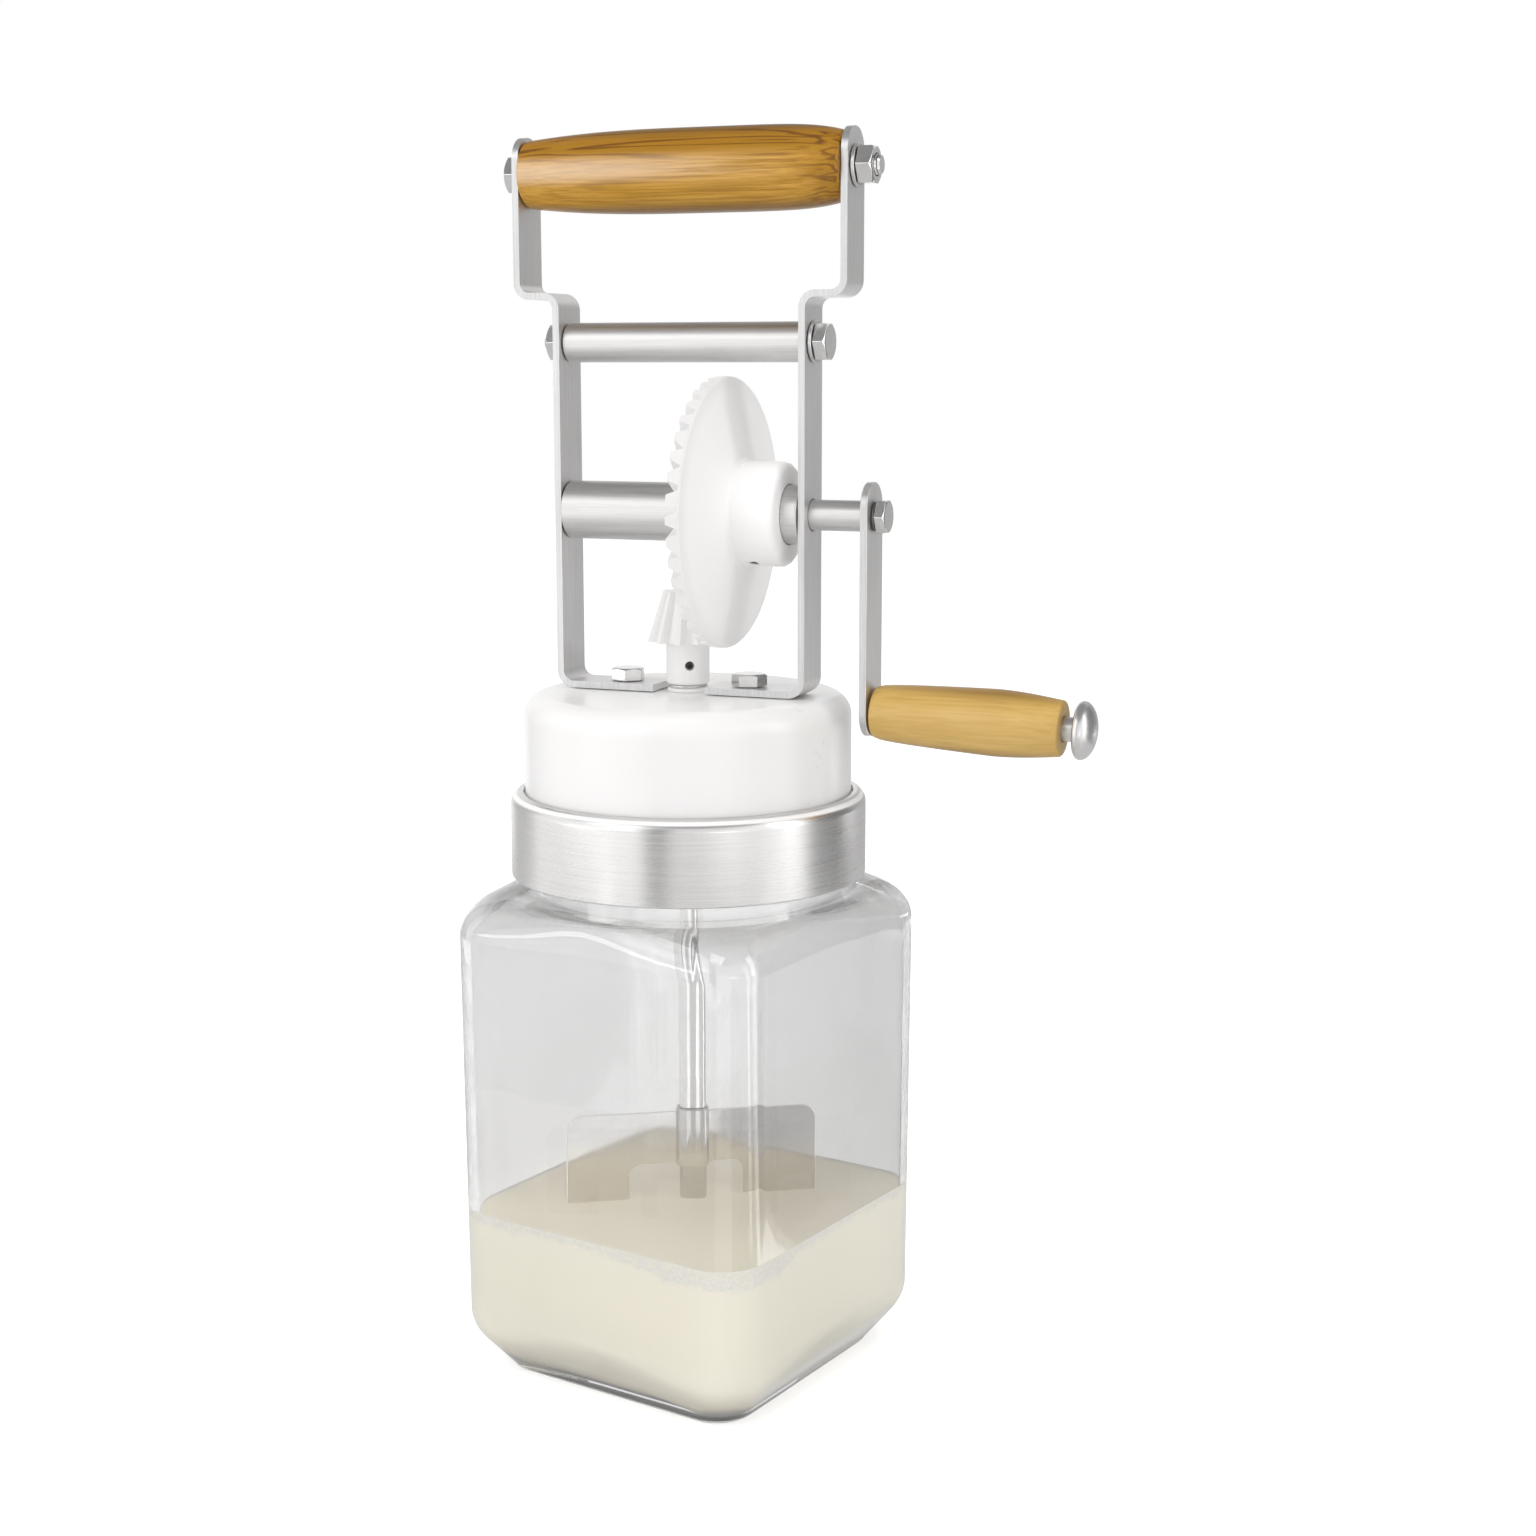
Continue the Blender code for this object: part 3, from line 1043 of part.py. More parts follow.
def rounded_outline(corners):
    # Corners are ((x, z), radius), all right angles; each becomes a quarter arc
    points = []
    count = len(corners)
    for k, (corner, radius) in enumerate(corners):
        here = Vector(corner)
        back = (Vector(corners[k - 1][0]) - here).normalized()
        ahead = (Vector(corners[(k + 1) % count][0]) - here).normalized()
        centre = here + (back + ahead) * radius
        for i in range(ARC_STEPS + 1):
            angle = pi / 2.0 * i / ARC_STEPS
            points.append(tuple(centre - ahead * radius * cos(angle) - back * radius * sin(angle)))
    return points


def build_paddle(dasher):
    # A sheet with an arch cut out below the hub, so that two legs reach down into the cream
    span = PADDLE_HALF_SPAN
    arch = PADDLE_ARCH_HALF_WIDTH
    corners = [
        ((-span, PADDLE_TOP_HEIGHT), PADDLE_TOP_CORNER),
        ((-span, PADDLE_FOOT_HEIGHT), PADDLE_FOOT_CORNER),
        ((-arch, PADDLE_FOOT_HEIGHT), PADDLE_FOOT_CORNER),
        ((-arch, PADDLE_ARCH_HEIGHT), PADDLE_ARCH_CORNER),
        ((arch, PADDLE_ARCH_HEIGHT), PADDLE_ARCH_CORNER),
        ((arch, PADDLE_FOOT_HEIGHT), PADDLE_FOOT_CORNER),
        ((span, PADDLE_FOOT_HEIGHT), PADDLE_FOOT_CORNER),
        ((span, PADDLE_TOP_HEIGHT), PADDLE_TOP_CORNER),
    ]
    outline = rounded_outline(corners)
    half = PADDLE_SHEET / 2.0
    shape = body_from_rings([[(x, -half, z) for x, z in outline], [(x, half, z) for x, z in outline]])
    turn = (0.0, 0.0, radians(PADDLE_TURN_DEGREES))
    paddle = add_piece("paddle", shape, POLISHED_STEEL, dasher, turn=turn)
    hub_top = PADDLE_TOP_HEIGHT + PADDLE_HUB_PROUD
    hub_bottom = PADDLE_ARCH_HEIGHT - PADDLE_HUB_SINK
    combine(paddle, cylinder_shape(PADDLE_HUB_RADIUS, hub_bottom, hub_top), "UNION", "hub")
    bore = cylinder_shape(SHAFT_RADIUS + FIT_GAP, hub_bottom - CUT_OVERRUN, hub_top + CUT_OVERRUN)
    combine(paddle, bore, "DIFFERENCE", "bore")


def build_churn():
    clear_scene()
    head = joint_axis("head_lift", (0.0, 0.0, 0.0))
    band = joint_axis("band_turn", (0.0, 0.0, 0.0), head)
    dasher = joint_axis("dasher_turn", (0.0, 0.0, 0.0), head)
    crank = joint_axis("crank_turn", (0.0, 0.0, AXLE_HEIGHT), head)
    grip_axis = joint_axis("grip_turn", (ARM_INNER, 0.0, PIN_HEIGHT), crank)
    build_jar()
    build_gasket(head)
    build_screw_band(band)
    build_lid(head)
    build_shaft_bush(head)
    build_strap("frame_strap_left", -1.0, head)
    build_strap("frame_strap_right", 1.0, head)
    build_foot_fasteners(head)
    build_spacer(head)
    build_handle(head)
    build_axle(crank)
    build_drive_gear(crank)
    build_gear_set_screw(crank)
    build_crank_arm(crank)
    build_crank_grip(grip_axis, crank)
    build_shaft(dasher)
    build_pinion(dasher)
    build_pinion_set_screw(dasher)
    build_paddle(dasher)


build_churn()
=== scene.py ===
import json
from math import acos, cos, pi, radians, sin, tan

import bmesh
import bpy
from mathutils import Euler, Matrix, Vector

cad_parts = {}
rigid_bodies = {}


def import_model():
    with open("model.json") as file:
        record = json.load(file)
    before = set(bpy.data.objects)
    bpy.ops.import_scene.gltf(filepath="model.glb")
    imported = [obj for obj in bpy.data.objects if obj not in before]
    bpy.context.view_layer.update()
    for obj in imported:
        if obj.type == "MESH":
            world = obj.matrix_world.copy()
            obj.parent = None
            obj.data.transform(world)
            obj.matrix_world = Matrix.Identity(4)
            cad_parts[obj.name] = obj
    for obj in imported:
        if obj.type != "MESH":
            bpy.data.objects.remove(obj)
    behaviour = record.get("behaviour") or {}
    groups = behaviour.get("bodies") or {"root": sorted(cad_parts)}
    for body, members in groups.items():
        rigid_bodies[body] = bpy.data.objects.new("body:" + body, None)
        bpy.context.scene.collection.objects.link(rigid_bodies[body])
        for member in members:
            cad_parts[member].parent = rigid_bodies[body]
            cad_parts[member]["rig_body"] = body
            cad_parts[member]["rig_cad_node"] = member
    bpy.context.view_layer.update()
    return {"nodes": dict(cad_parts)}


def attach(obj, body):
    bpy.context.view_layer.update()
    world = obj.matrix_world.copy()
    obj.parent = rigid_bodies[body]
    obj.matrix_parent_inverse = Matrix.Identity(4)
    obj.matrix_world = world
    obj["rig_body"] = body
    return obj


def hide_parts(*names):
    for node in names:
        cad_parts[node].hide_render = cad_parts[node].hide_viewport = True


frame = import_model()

# Butter churn. Sizes are in millimetres and multiplied by mm where they are used. The origin is on
# the paddle shaft's axis at the jar's foot, X runs along the axle to the crank and Z is up.
nodes = frame["nodes"]
mm = 0.001
print("frame loaded", len(nodes), "nodes")

fit = 0.3                     # running gap between pieces, as in the frame
doubleGap = 0.004             # points nearer than this are one point
sliverGap = 0.008             # slivers thinner than this are merged away
toCrank = Vector((1.0, 0.0, 0.0))
upward = Vector((0.0, 0.0, 1.0))
downward = Vector((0.0, 0.0, -1.0))
facingCrank = (0.0, pi / 2, 0.0)
facingAway = (0.0, -pi / 2, 0.0)
upsideDown = (pi, 0.0, 0.0)


def objectMode():
    bpy.ops.object.mode_set(mode="OBJECT")


def selectAll():
    bpy.ops.mesh.select_all(action="SELECT")


def startAlone():
    if bpy.context.mode != "OBJECT":
        objectMode()
    bpy.ops.object.select_all(action="DESELECT")


def workOn(piece):
    startAlone()
    piece.select_set(True)
    bpy.context.view_layer.objects.active = piece


def editAll(piece):
    workOn(piece)
    bpy.ops.object.mode_set(mode="EDIT")
    selectAll()


def leaveEdit(merged=True):
    # Back to object mode with doubled points merged and the faces turned outwards
    selectAll()
    if merged:
        bpy.ops.mesh.remove_doubles(threshold=doubleGap * mm)
    bpy.ops.mesh.normals_make_consistent(inside=False)
    objectMode()


def settle(piece):
    # Moves a primitive's place and turn into its mesh
    workOn(piece)
    bpy.ops.object.transform_apply(location=True, rotation=True, scale=True)


def addPlane(name, size, place=(0.0, 0.0, 0.0)):
    startAlone()
    bpy.ops.mesh.primitive_plane_add(size=size, location=place)
    piece = bpy.context.object
    piece.name = name
    settle(piece)
    return piece


def quarter(steps):
    # The angles of a quarter turn, both ends included
    return [pi / 2 * i / steps for i in range(steps + 1)]


def roundCorners(corners, closed=True, steps=5):
    # Corners are (u, v, bend); each bend becomes an arc of that radius
    points = []
    count = len(corners)
    for k, (u, v, bend) in enumerate(corners):
        here = Vector((u, v))
        atEnd = not closed and k in (0, count - 1)
        if bend == 0 or atEnd:
            points.append((u, v))
            continue
        back = (Vector(corners[k - 1][:2]) - here).normalized()
        ahead = (Vector(corners[(k + 1) % count][:2]) - here).normalized()
        half = acos(max(-1.0, min(1.0, back.dot(ahead)))) / 2
        centre = here + (back + ahead).normalized() * (bend / sin(half))
        first = here + back * (bend / tan(half)) - centre
        last = here + ahead * (bend / tan(half)) - centre
        sweep = pi - 2 * half
        if first.x * last.y - first.y * last.x < 0:
            sweep = -sweep
        for i in range(steps + 1):
            turned = Matrix.Rotation(sweep * i / steps, 2) @ first
            points.append(tuple(centre + turned))
    return points


def drawLine(name, points):
    # A row of points drawn one after another from a plane merged to a single point
    piece = addPlane(name, mm, points[0])
    editAll(piece)
    bpy.ops.mesh.merge(type="CENTER")
    for before, after in zip(points, points[1:]):
        bpy.ops.mesh.extrude_vertices_move(TRANSFORM_OT_translate={"value": tuple(after - before)})
    selectAll()
    return piece


def turnedPiece(name, outline, base, along, closed=True, steps=96):
    # Outline points are (distance along the axis, radius) in millimetres, spun round the axis
    base = Vector(base)
    side = along.orthogonal().normalized()
    points = [base + along * (a * mm) + side * (r * mm) for a, r in outline]
    if closed:
        points.append(points[0].copy())
    piece = drawLine(name, points)
    bpy.ops.mesh.spin(steps=steps, angle=2 * pi, center=base, axis=along)
    leaveEdit()
    return piece


def roundedPiece(name, corners, bends, around, base=(0, 0, 0), along=upward, closed=True):
    # Corners are (distance along the axis, radius, bend)
    outline = roundCorners(corners, closed, bends)
    return turnedPiece(name, outline, base, along, closed, around)


def platePiece(name, outline, origin, across, up, thickness):
    # A flat plate from an outline in millimetres, as thick as the vector says
    origin = Vector(origin)
    points = [origin + across * (u * mm) + up * (v * mm) for u, v in outline]
    piece = drawLine(name, points + [points[0].copy()])
    bpy.ops.mesh.remove_doubles(threshold=doubleGap * mm)
    selectAll()
    bpy.ops.mesh.edge_face_add()
    bpy.ops.mesh.extrude_region_move(TRANSFORM_OT_translate={"value": tuple(thickness)})
    leaveEdit(merged=False)
    return piece


def ringedPiece(name, rings):
    # A body drawn ring by ring: each new ring is extruded from the last and set to its points
    startAlone()
    bpy.ops.mesh.primitive_circle_add(vertices=len(rings[0]), radius=0.05)
    piece = bpy.context.object
    piece.name = name
    mesh = piece.data
    for vertex, point in zip(mesh.vertices, rings[0]):
        vertex.co = point
    editAll(piece)
    bpy.ops.mesh.edge_face_add()
    selectAll()
    for last, ring in zip(rings, rings[1:]):
        bpy.ops.mesh.extrude_region_move()
        shape = bmesh.from_edit_mesh(mesh)
        place = {tuple(round(c, 6) for c in point): i for i, point in enumerate(last)}
        for vertex in shape.verts:
            if vertex.select:
                vertex.co = ring[place[tuple(round(c, 6) for c in vertex.co)]]
        bmesh.update_edit_mesh(mesh)
    leaveEdit()
    return piece


def applyModifier(piece, kind, settings):
    modifier = piece.modifiers.new(kind.lower(), kind)
    for key, value in settings.items():
        setattr(modifier, key, value)
    workOn(piece)
    bpy.ops.object.modifier_apply(modifier=modifier.name)


def carve(piece, tool, operation="DIFFERENCE"):
    # The tool body is taken away from the piece, joined to it or kept in common, and then thrown away
    applyModifier(piece, "BOOLEAN", {"operation": operation, "solver": "EXACT", "object": tool})
    bpy.data.objects.remove(tool, do_unlink=True)


def mergeSlivers(piece):
    # Slivers left by a cut are merged away
    editAll(piece)
    bpy.ops.mesh.remove_doubles(threshold=sliverGap * mm)
    bpy.ops.mesh.dissolve_degenerate(threshold=sliverGap * mm)
    objectMode()


def rod(radius, base, along, length, steps=32):
    outline = [(0, 0), (0, radius), (length, radius), (length, 0)]
    return turnedPiece("rod", outline, base, along, False, steps)


def copyOfNode(node, name):
    # The frame's own shape with its loose triangles merged, to be given softer edges
    startAlone()
    piece = nodes[node].copy()
    piece.data = nodes[node].data.copy()
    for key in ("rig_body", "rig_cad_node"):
        if key in piece:
            del piece[key]
    piece.parent = None
    piece.matrix_world = Matrix.Identity(4)
    piece.name = name
    bpy.context.scene.collection.objects.link(piece)
    editAll(piece)
    bpy.ops.mesh.remove_doubles(threshold=sliverGap * mm)
    bpy.ops.mesh.dissolve_limited(angle_limit=radians(1.5))
    objectMode()
    return piece


def softenEdges(piece, width, sharp=32, segments=2):
    applyModifier(piece, "BEVEL", {
        "width": width * mm, "segments": segments, "limit_method": "ANGLE", "angle_limit": radians(sharp),
        "use_clamp_overlap": True, "miter_outer": "MITER_ARC"})


def finishPiece(piece, body, material, slot, *standsFor, smooth=40, even=True):
    workOn(piece)
    bpy.ops.object.shade_smooth_by_angle(angle=radians(smooth))
    if even:
        applyModifier(piece, "WEIGHTED_NORMAL", {"keep_sharp": True, "weight": 70})
    piece.data.materials.clear()
    piece.data.materials.append(material)
    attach(piece, body)
    if standsFor:
        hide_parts(*standsFor)
    startAlone()


def screenColour(red, green, blue):
    # A colour as seen on a screen, 0 to 255, in the shader's own scale
    levels = [value / 255 for value in (red, green, blue)]
    return tuple(v / 12.92 if v < 0.04045 else ((v + 0.055) / 1.055) ** 2.4 for v in levels) + (1.0,)


def grey(level, warmth=0.01):
    return (level + warmth, level, level - warmth / 2, 1.0)


class Signal:
    # A shader socket that Python can add, subtract and multiply
    def __init__(self, finish, socket):
        self.finish = finish
        self.socket = socket

    def __add__(self, other):
        return self.finish.maths("ADD", self, other)

    def __sub__(self, other):
        return self.finish.maths("SUBTRACT", self, other)

    def __rsub__(self, other):
        return self.finish.maths("SUBTRACT", other, self)

    def __mul__(self, other):
        return self.finish.maths("MULTIPLY", self, other)

    __radd__ = __add__
    __rmul__ = __mul__


class ShaderTree:
    # A node tree with one method that adds any node: its type, settings, then values and links
    def __init__(self, tree):
        self.tree = tree

    def node(self, kind, settings, inputs, output=0):
        made = self.tree.nodes.new(kind)
        for key, value in settings.items():
            if key == "stops":
                ramp = made.color_ramp
                while len(ramp.elements) < len(value):
                    ramp.elements.new(1.0)
                for element, (position, colour) in zip(ramp.elements, value):
                    element.position = position
                    element.color = colour
            else:
                setattr(made, key, value)
        for key, value in inputs.items():
            if isinstance(value, Signal):
                self.tree.links.new(value.socket, made.inputs[key])
            else:
                made.inputs[key].default_value = value
        return Signal(self, made.outputs[output]) if made.outputs else None

    def maths(self, operation, *values):
        return self.node("ShaderNodeMath", {"operation": operation}, dict(enumerate(values)))

    def vectors(self, operation, *values, output="Value"):
        return self.node("ShaderNodeVectorMath", {"operation": operation}, dict(enumerate(values)), output)

    def seenDirectly(self):
        # 1 for rays from the camera, in reflections and through glass, 0 for lighting
        camera, glossy, through = [self.node("ShaderNodeLightPath", {}, {}, "Is %s Ray" % kind)
                                   for kind in ("Camera", "Glossy", "Transmission")]
        return self.maths("MINIMUM", camera + glossy + through, 1.0)


class Finish(ShaderTree):
    # One material: its shader and the coordinates on the piece
    def __init__(self, name, settings):
        self.material = bpy.data.materials.new(name)
        self.material.use_nodes = True
        super().__init__(self.material.node_tree)
        self.shader = self.tree.nodes["Principled BSDF"]
        for key, value in settings.items():
            self.shader.inputs[key].default_value = value
        self.place = self.node("ShaderNodeTexCoord", {}, {}, "Object")

    def along(self, axis, source=None):
        return self.node("ShaderNodeSeparateXYZ", {}, {"Vector": source or self.place}, axis)

    def millimetres(self, axis):
        return self.along(axis) * 1000

    def facing(self, axis):
        return self.along(axis, self.node("ShaderNodeNewGeometry", {}, {}, "Normal"))

    def between(self, value, low, high):
        # 0 at low and 1 at high, eased
        return self.node("ShaderNodeMapRange", {"interpolation_type": "SMOOTHSTEP"},
                         {"Value": value, "From Min": low, "From Max": high})

    def stretched(self, scale, turn=(0.0, 0.0, 0.0)):
        return self.node("ShaderNodeMapping", {}, {"Vector": self.place, "Scale": scale, "Rotation": turn})

    def noise(self, vector, scale=1.0, detail=2.0, rough=0.5):
        return self.node("ShaderNodeTexNoise", {}, {
            "Vector": vector, "Scale": scale, "Detail": detail, "Roughness": rough}, "Fac")

    def ramp(self, factor, *stops):
        shades = [(position, (level, level, level, 1.0)) for position, level in stops]
        return self.node("ShaderNodeValToRGB", {"stops": shades}, {"Fac": factor}, "Color")

    def blend(self, factor, first, second):
        return self.node("ShaderNodeMix", {"data_type": "RGBA"}, {0: factor, 6: first, 7: second}, 2)

    def feed(self, key, signal):
        self.tree.links.new(signal.socket, self.shader.inputs[key])

    def mixShaders(self, factor, other):
        own = Signal(self, self.shader.outputs[0])
        mixed = self.node("ShaderNodeMixShader", {}, {0: factor, 1: own, 2: other})
        self.tree.links.new(mixed.socket, self.tree.nodes["Material Output"].inputs["Surface"])

    def bump(self, height, strength, distance):
        self.feed("Normal", self.node("ShaderNodeBump", {}, {
            "Strength": strength, "Distance": distance * mm, "Height": height}, "Normal"))


def brushedSteel(name, tones, grain, roughness, bumpStrength=0.10, sheared=None, inside=None):
    # Fine lines drawn out along the brushing, over a faint broad unevenness
    steel = Finish(name, {"Metallic": 1.0})
    lines = steel.noise(steel.stretched(grain), 1.0, 3.0, 0.65)
    broad = steel.noise(steel.place, 45.0, 2.0)
    mix = steel.ramp(lines * 0.75 + broad * 0.25, (0.34, 0.0), (0.66, 1.0))
    colour = steel.blend(mix, tones["dark"], tones["light"])
    if sheared:     # the sheared edges of a strap are duller than its faces
        edge = steel.between(steel.maths("ABSOLUTE", steel.facing("Y")), 0.55, 0.95)
        colour = steel.blend(edge, colour, steel.blend(mix, *sheared))
    if inside:      # painted light: within a radius and under its top the band is painted pale and matt, where its inside would lie in shade
        level = steel.vectors("MULTIPLY", steel.place, (1.0, 1.0, 0.0), output="Vector")
        radius = steel.vectors("LENGTH", level) * 1000
        outside = steel.maths("MAXIMUM", *[steel.between(value, at - 0.2, at + 0.2) for value, at in (
            (radius, inside["radius"]), (steel.millimetres("Z"), inside["top"]))])
        colour = steel.blend(outside, inside["tone"], colour)
        steel.feed("Metallic", outside)
    steel.feed("Base Color", colour)
    steel.feed("Roughness", lines * 0.10 + (roughness - 0.07) + broad * 0.04)
    steel.bump(lines, bumpStrength, 0.03)
    return steel.material


def polishedSteel(name, dark, light, roughness, sheet=None, low=None):
    steel = Finish(name, {"Metallic": 1.0})
    smear = steel.noise(steel.place, 260.0, 3.0)
    scratches = steel.noise(steel.stretched((900.0, 2600.0, 900.0), (0.6, 0.3, 0.9)), 1.0, 2.0)
    colour = steel.blend(smear, dark, light)
    if low:     # painted reflection: near the cream the steel is blended to the cream's beige, as it would mirror the cream
        creamReflectionShare = steel.between(steel.millimetres("Z"), low["from"], low["to"])
        colour = steel.blend(creamReflectionShare, colour, low["tone"])
    rough = smear * 0.08 + scratches * 0.06 + (roughness - 0.07)
    if sheet:   # painted highlight: the rounded edge of a sheet is pale and matt, standing for the light it catches
        off = steel.maths("ABSOLUTE", steel.vectors("DOT_PRODUCT", steel.place, sheet["normal"])) * 1000
        edge = steel.between(off, sheet["half"] - 0.03, sheet["half"] - 0.14)
        colour = steel.blend(edge, colour, grey(0.95))
        rough = rough + edge * 0.35
        steel.feed("Metallic", 1 - edge * 0.8)
    steel.feed("Base Color", colour)
    steel.feed("Roughness", rough)
    steel.bump(scratches, 0.04, 0.02)
    return steel.material


tubeTones = {"dark": grey(0.60), "light": grey(0.71)}
strapTones = {"dark": grey(0.76), "light": grey(0.88)}
shearedTones = [(level, level, level, 1.0) for level in (0.552, 0.6808)]
tubeSteel = brushedSteel("tubeSteel", tubeTones, (60.0, 2600.0, 2600.0), 0.42, 0.02)
strapSteel = brushedSteel("strapSteel", strapTones, (1800.0, 1800.0, 40.0), 0.42, 0.03, shearedTones)
washerSteel = brushedSteel("washerSteel", tubeTones, (1500.0, 1500.0, 1500.0), 0.30)
boltSteel = polishedSteel("boltSteel", grey(0.64), grey(0.82), 0.18)
pinSteel = polishedSteel("pinSteel", grey(0.66), grey(0.78), 0.33)
darkSteel = polishedSteel("darkSteel", grey(0.16), grey(0.24), 0.40)


def mouldedPlastic(name, colour, shade, roughness, coat, grainSize, strength, teethLightPaint=None):
    plastic = Finish(name, {"IOR": 1.5, "Coat Weight": coat, "Coat Roughness": 0.12})
    cloud = plastic.noise(plastic.place, 38.0, 3.0)
    grain = plastic.noise(plastic.place, grainSize, 2.0)
    tone = plastic.blend(cloud, colour, shade)
    if teethLightPaint:    # painted light: the toothed side gets a darker base and a glow of its own, so that its lit and shaded faces come out evenly grey
        web = plastic.between(plastic.millimetres("X"), teethLightPaint["from"], teethLightPaint["to"])
        tone = plastic.blend(web, plastic.blend(cloud * 0.3, teethLightPaint["tone"], shade), tone)
        plastic.feed("Emission Color", plastic.blend(web, grey(1.0), grey(0.0)))
        plastic.shader.inputs["Emission Strength"].default_value = teethLightPaint["glow"]
    plastic.feed("Base Color", tone)
    plastic.feed("Roughness", cloud * 0.10 + grain * 0.06 + (roughness - 0.08))
    plastic.bump(grain, strength, 0.05)
    return plastic.material


# Painted light for the toothed side of the gears: a darker tone and a glow
teethPaintedLight = {"tone": grey(0.40), "from": 14.6, "to": 16.4, "glow": 0.30}
lidPlastic = mouldedPlastic("lidPlastic", grey(0.81), grey(0.84), 0.30, 0.25, 420.0, 0.04)
gearNylon = mouldedPlastic("gearNylon", grey(0.94), grey(0.95), 0.46, 0.0, 900.0, 0.06, teethPaintedLight)
screwBlack = mouldedPlastic("screwBlack", (0.020, 0.018, 0.016, 1.0), (0.040, 0.036, 0.032, 1.0),
                            0.50, 0.0, 1400.0, 0.2)
sealRubber = mouldedPlastic("sealRubber", (0.60, 0.60, 0.585, 1.0), (0.66, 0.66, 0.645, 1.0),
                            0.60, 0.0, 1500.0, 0.2)

glassTones = {"body": (0.79, 0.745), "clear": (0.925, 0.905), "bodyShare": 0.07, "neckShare": 0.68}


def clearGlass():
    # Moulded glass: a faint waviness bends what is seen through it, and a coat holds the highlights.
    # A share of plain see-through, larger in the neck, keeps the thick places from turning black
    glass = Finish("clearGlass", {"Transmission Weight": 1.0, "IOR": 1.45, "Roughness": 0.0,
                                  "Coat Roughness": 0.03, "Coat IOR": 1.5})
    wave = glass.noise(glass.stretched((60.0, 60.0, 34.0)), 1.0, 1.0)
    # Painted shade: the body is tinted darker towards the crank's side, the side away from the key light
    place = glass.millimetres("X") + glass.noise(glass.place, 9.0, 1.0) * 30
    rightwardShade = glass.between(place, 20.0, 75.0)
    body, clear = [glass.blend(rightwardShade, *[grey(level, 0) for level in glassTones[key]])
                   for key in ("body", "clear")]
    glass.feed("Base Color", body)
    glass.feed("Coat Weight", wave * 0.1 + 0.9)
    glass.bump(wave, 0.16, 0.25)
    height = glass.millimetres("Z")
    share = (glass.between(height, 52.0, 64.0) * glassTones["bodyShare"]
             + glass.between(height, 156.0, 165.0) * glassTones["neckShare"])
    glass.mixShaders(share, glass.node("ShaderNodeBsdfTransparent", {}, {"Color": clear}))
    return glass.material


jarGlassFinish = clearGlass()

cream = {"level": 54.6, "intoGlass": 0.12, "meniscus": 0.9, "meniscusReach": 2.4}
creamTones = {"cream": screenColour(244, 240, 226), "warm": screenColour(238, 233, 217),
              "froth": screenColour(226, 224, 219), "low": screenColour(206, 198, 176),
              "under": screenColour(150, 149, 146), "surface": screenColour(240, 231, 208),
              "glow": 0.13, "frothDepth": 1.5, "cornerFroth": 4.4, "heelTop": 17.0, "heelBottom": 8.0,
              "frontCorner": (0.540, -0.842, 0.0)}


def creamFinish():
    tones = creamTones
    milk = Finish("freshCream", {"IOR": 1.35, "Emission Strength": tones["glow"]})
    cloud = milk.noise(milk.place, 22.0, 3.0)
    fleck = milk.noise(milk.place, 950.0, 3.0, 0.6)
    height = milk.millimetres("Z")
    level = milk.facing("Z")
    top = milk.between(level, 0.86, 0.99)
    # Painted shade: faces turned down are dark grey
    under = milk.between(level, -0.80, -0.95)
    corner = milk.between(milk.vectors("DOT_PRODUCT", milk.place, tones["frontCorner"]) * 1000, 46.0, 66.0)
    frayed = milk.noise(milk.place, 150.0, 4.0, 0.75) * 7.0 + milk.noise(milk.place, 30.0, 1.0) * 5.0 - 6.0
    depth = corner * tones["cornerFroth"] + tones["frothDepth"]
    froth = milk.between(height + frayed + depth, cream["level"] - 1.4, cream["level"] + 0.9)
    # Painted shade: darker and warmer towards the heel, where the cream bends under
    low = milk.between(height, tones["heelTop"], tones["heelBottom"])
    ground = milk.blend(cloud, tones["cream"], tones["warm"])
    shaded = milk.blend(low * 0.85, ground, tones["low"])
    topped = milk.blend(top, shaded, tones["surface"])
    underShaded = milk.blend(under, topped, tones["under"])
    bubbles = milk.ramp(fleck, (0.38, 0.30), (0.56, 1.0))
    colour = milk.blend(froth * (1 - top) * bubbles * 0.9, underShaded, tones["froth"])
    milk.feed("Base Color", colour)
    # Painted light: the cream glows a little, its top more than its sides, to lift it where the jar and lid
    # keep light from it
    milk.feed("Emission Color", milk.blend(top, milk.blend(0.35, colour, grey(0.0)), colour))
    milk.feed("Roughness", fleck * 0.15 + 0.30)
    milk.bump(fleck, 0.05, 0.1)
    return milk.material


freshCream = creamFinish()


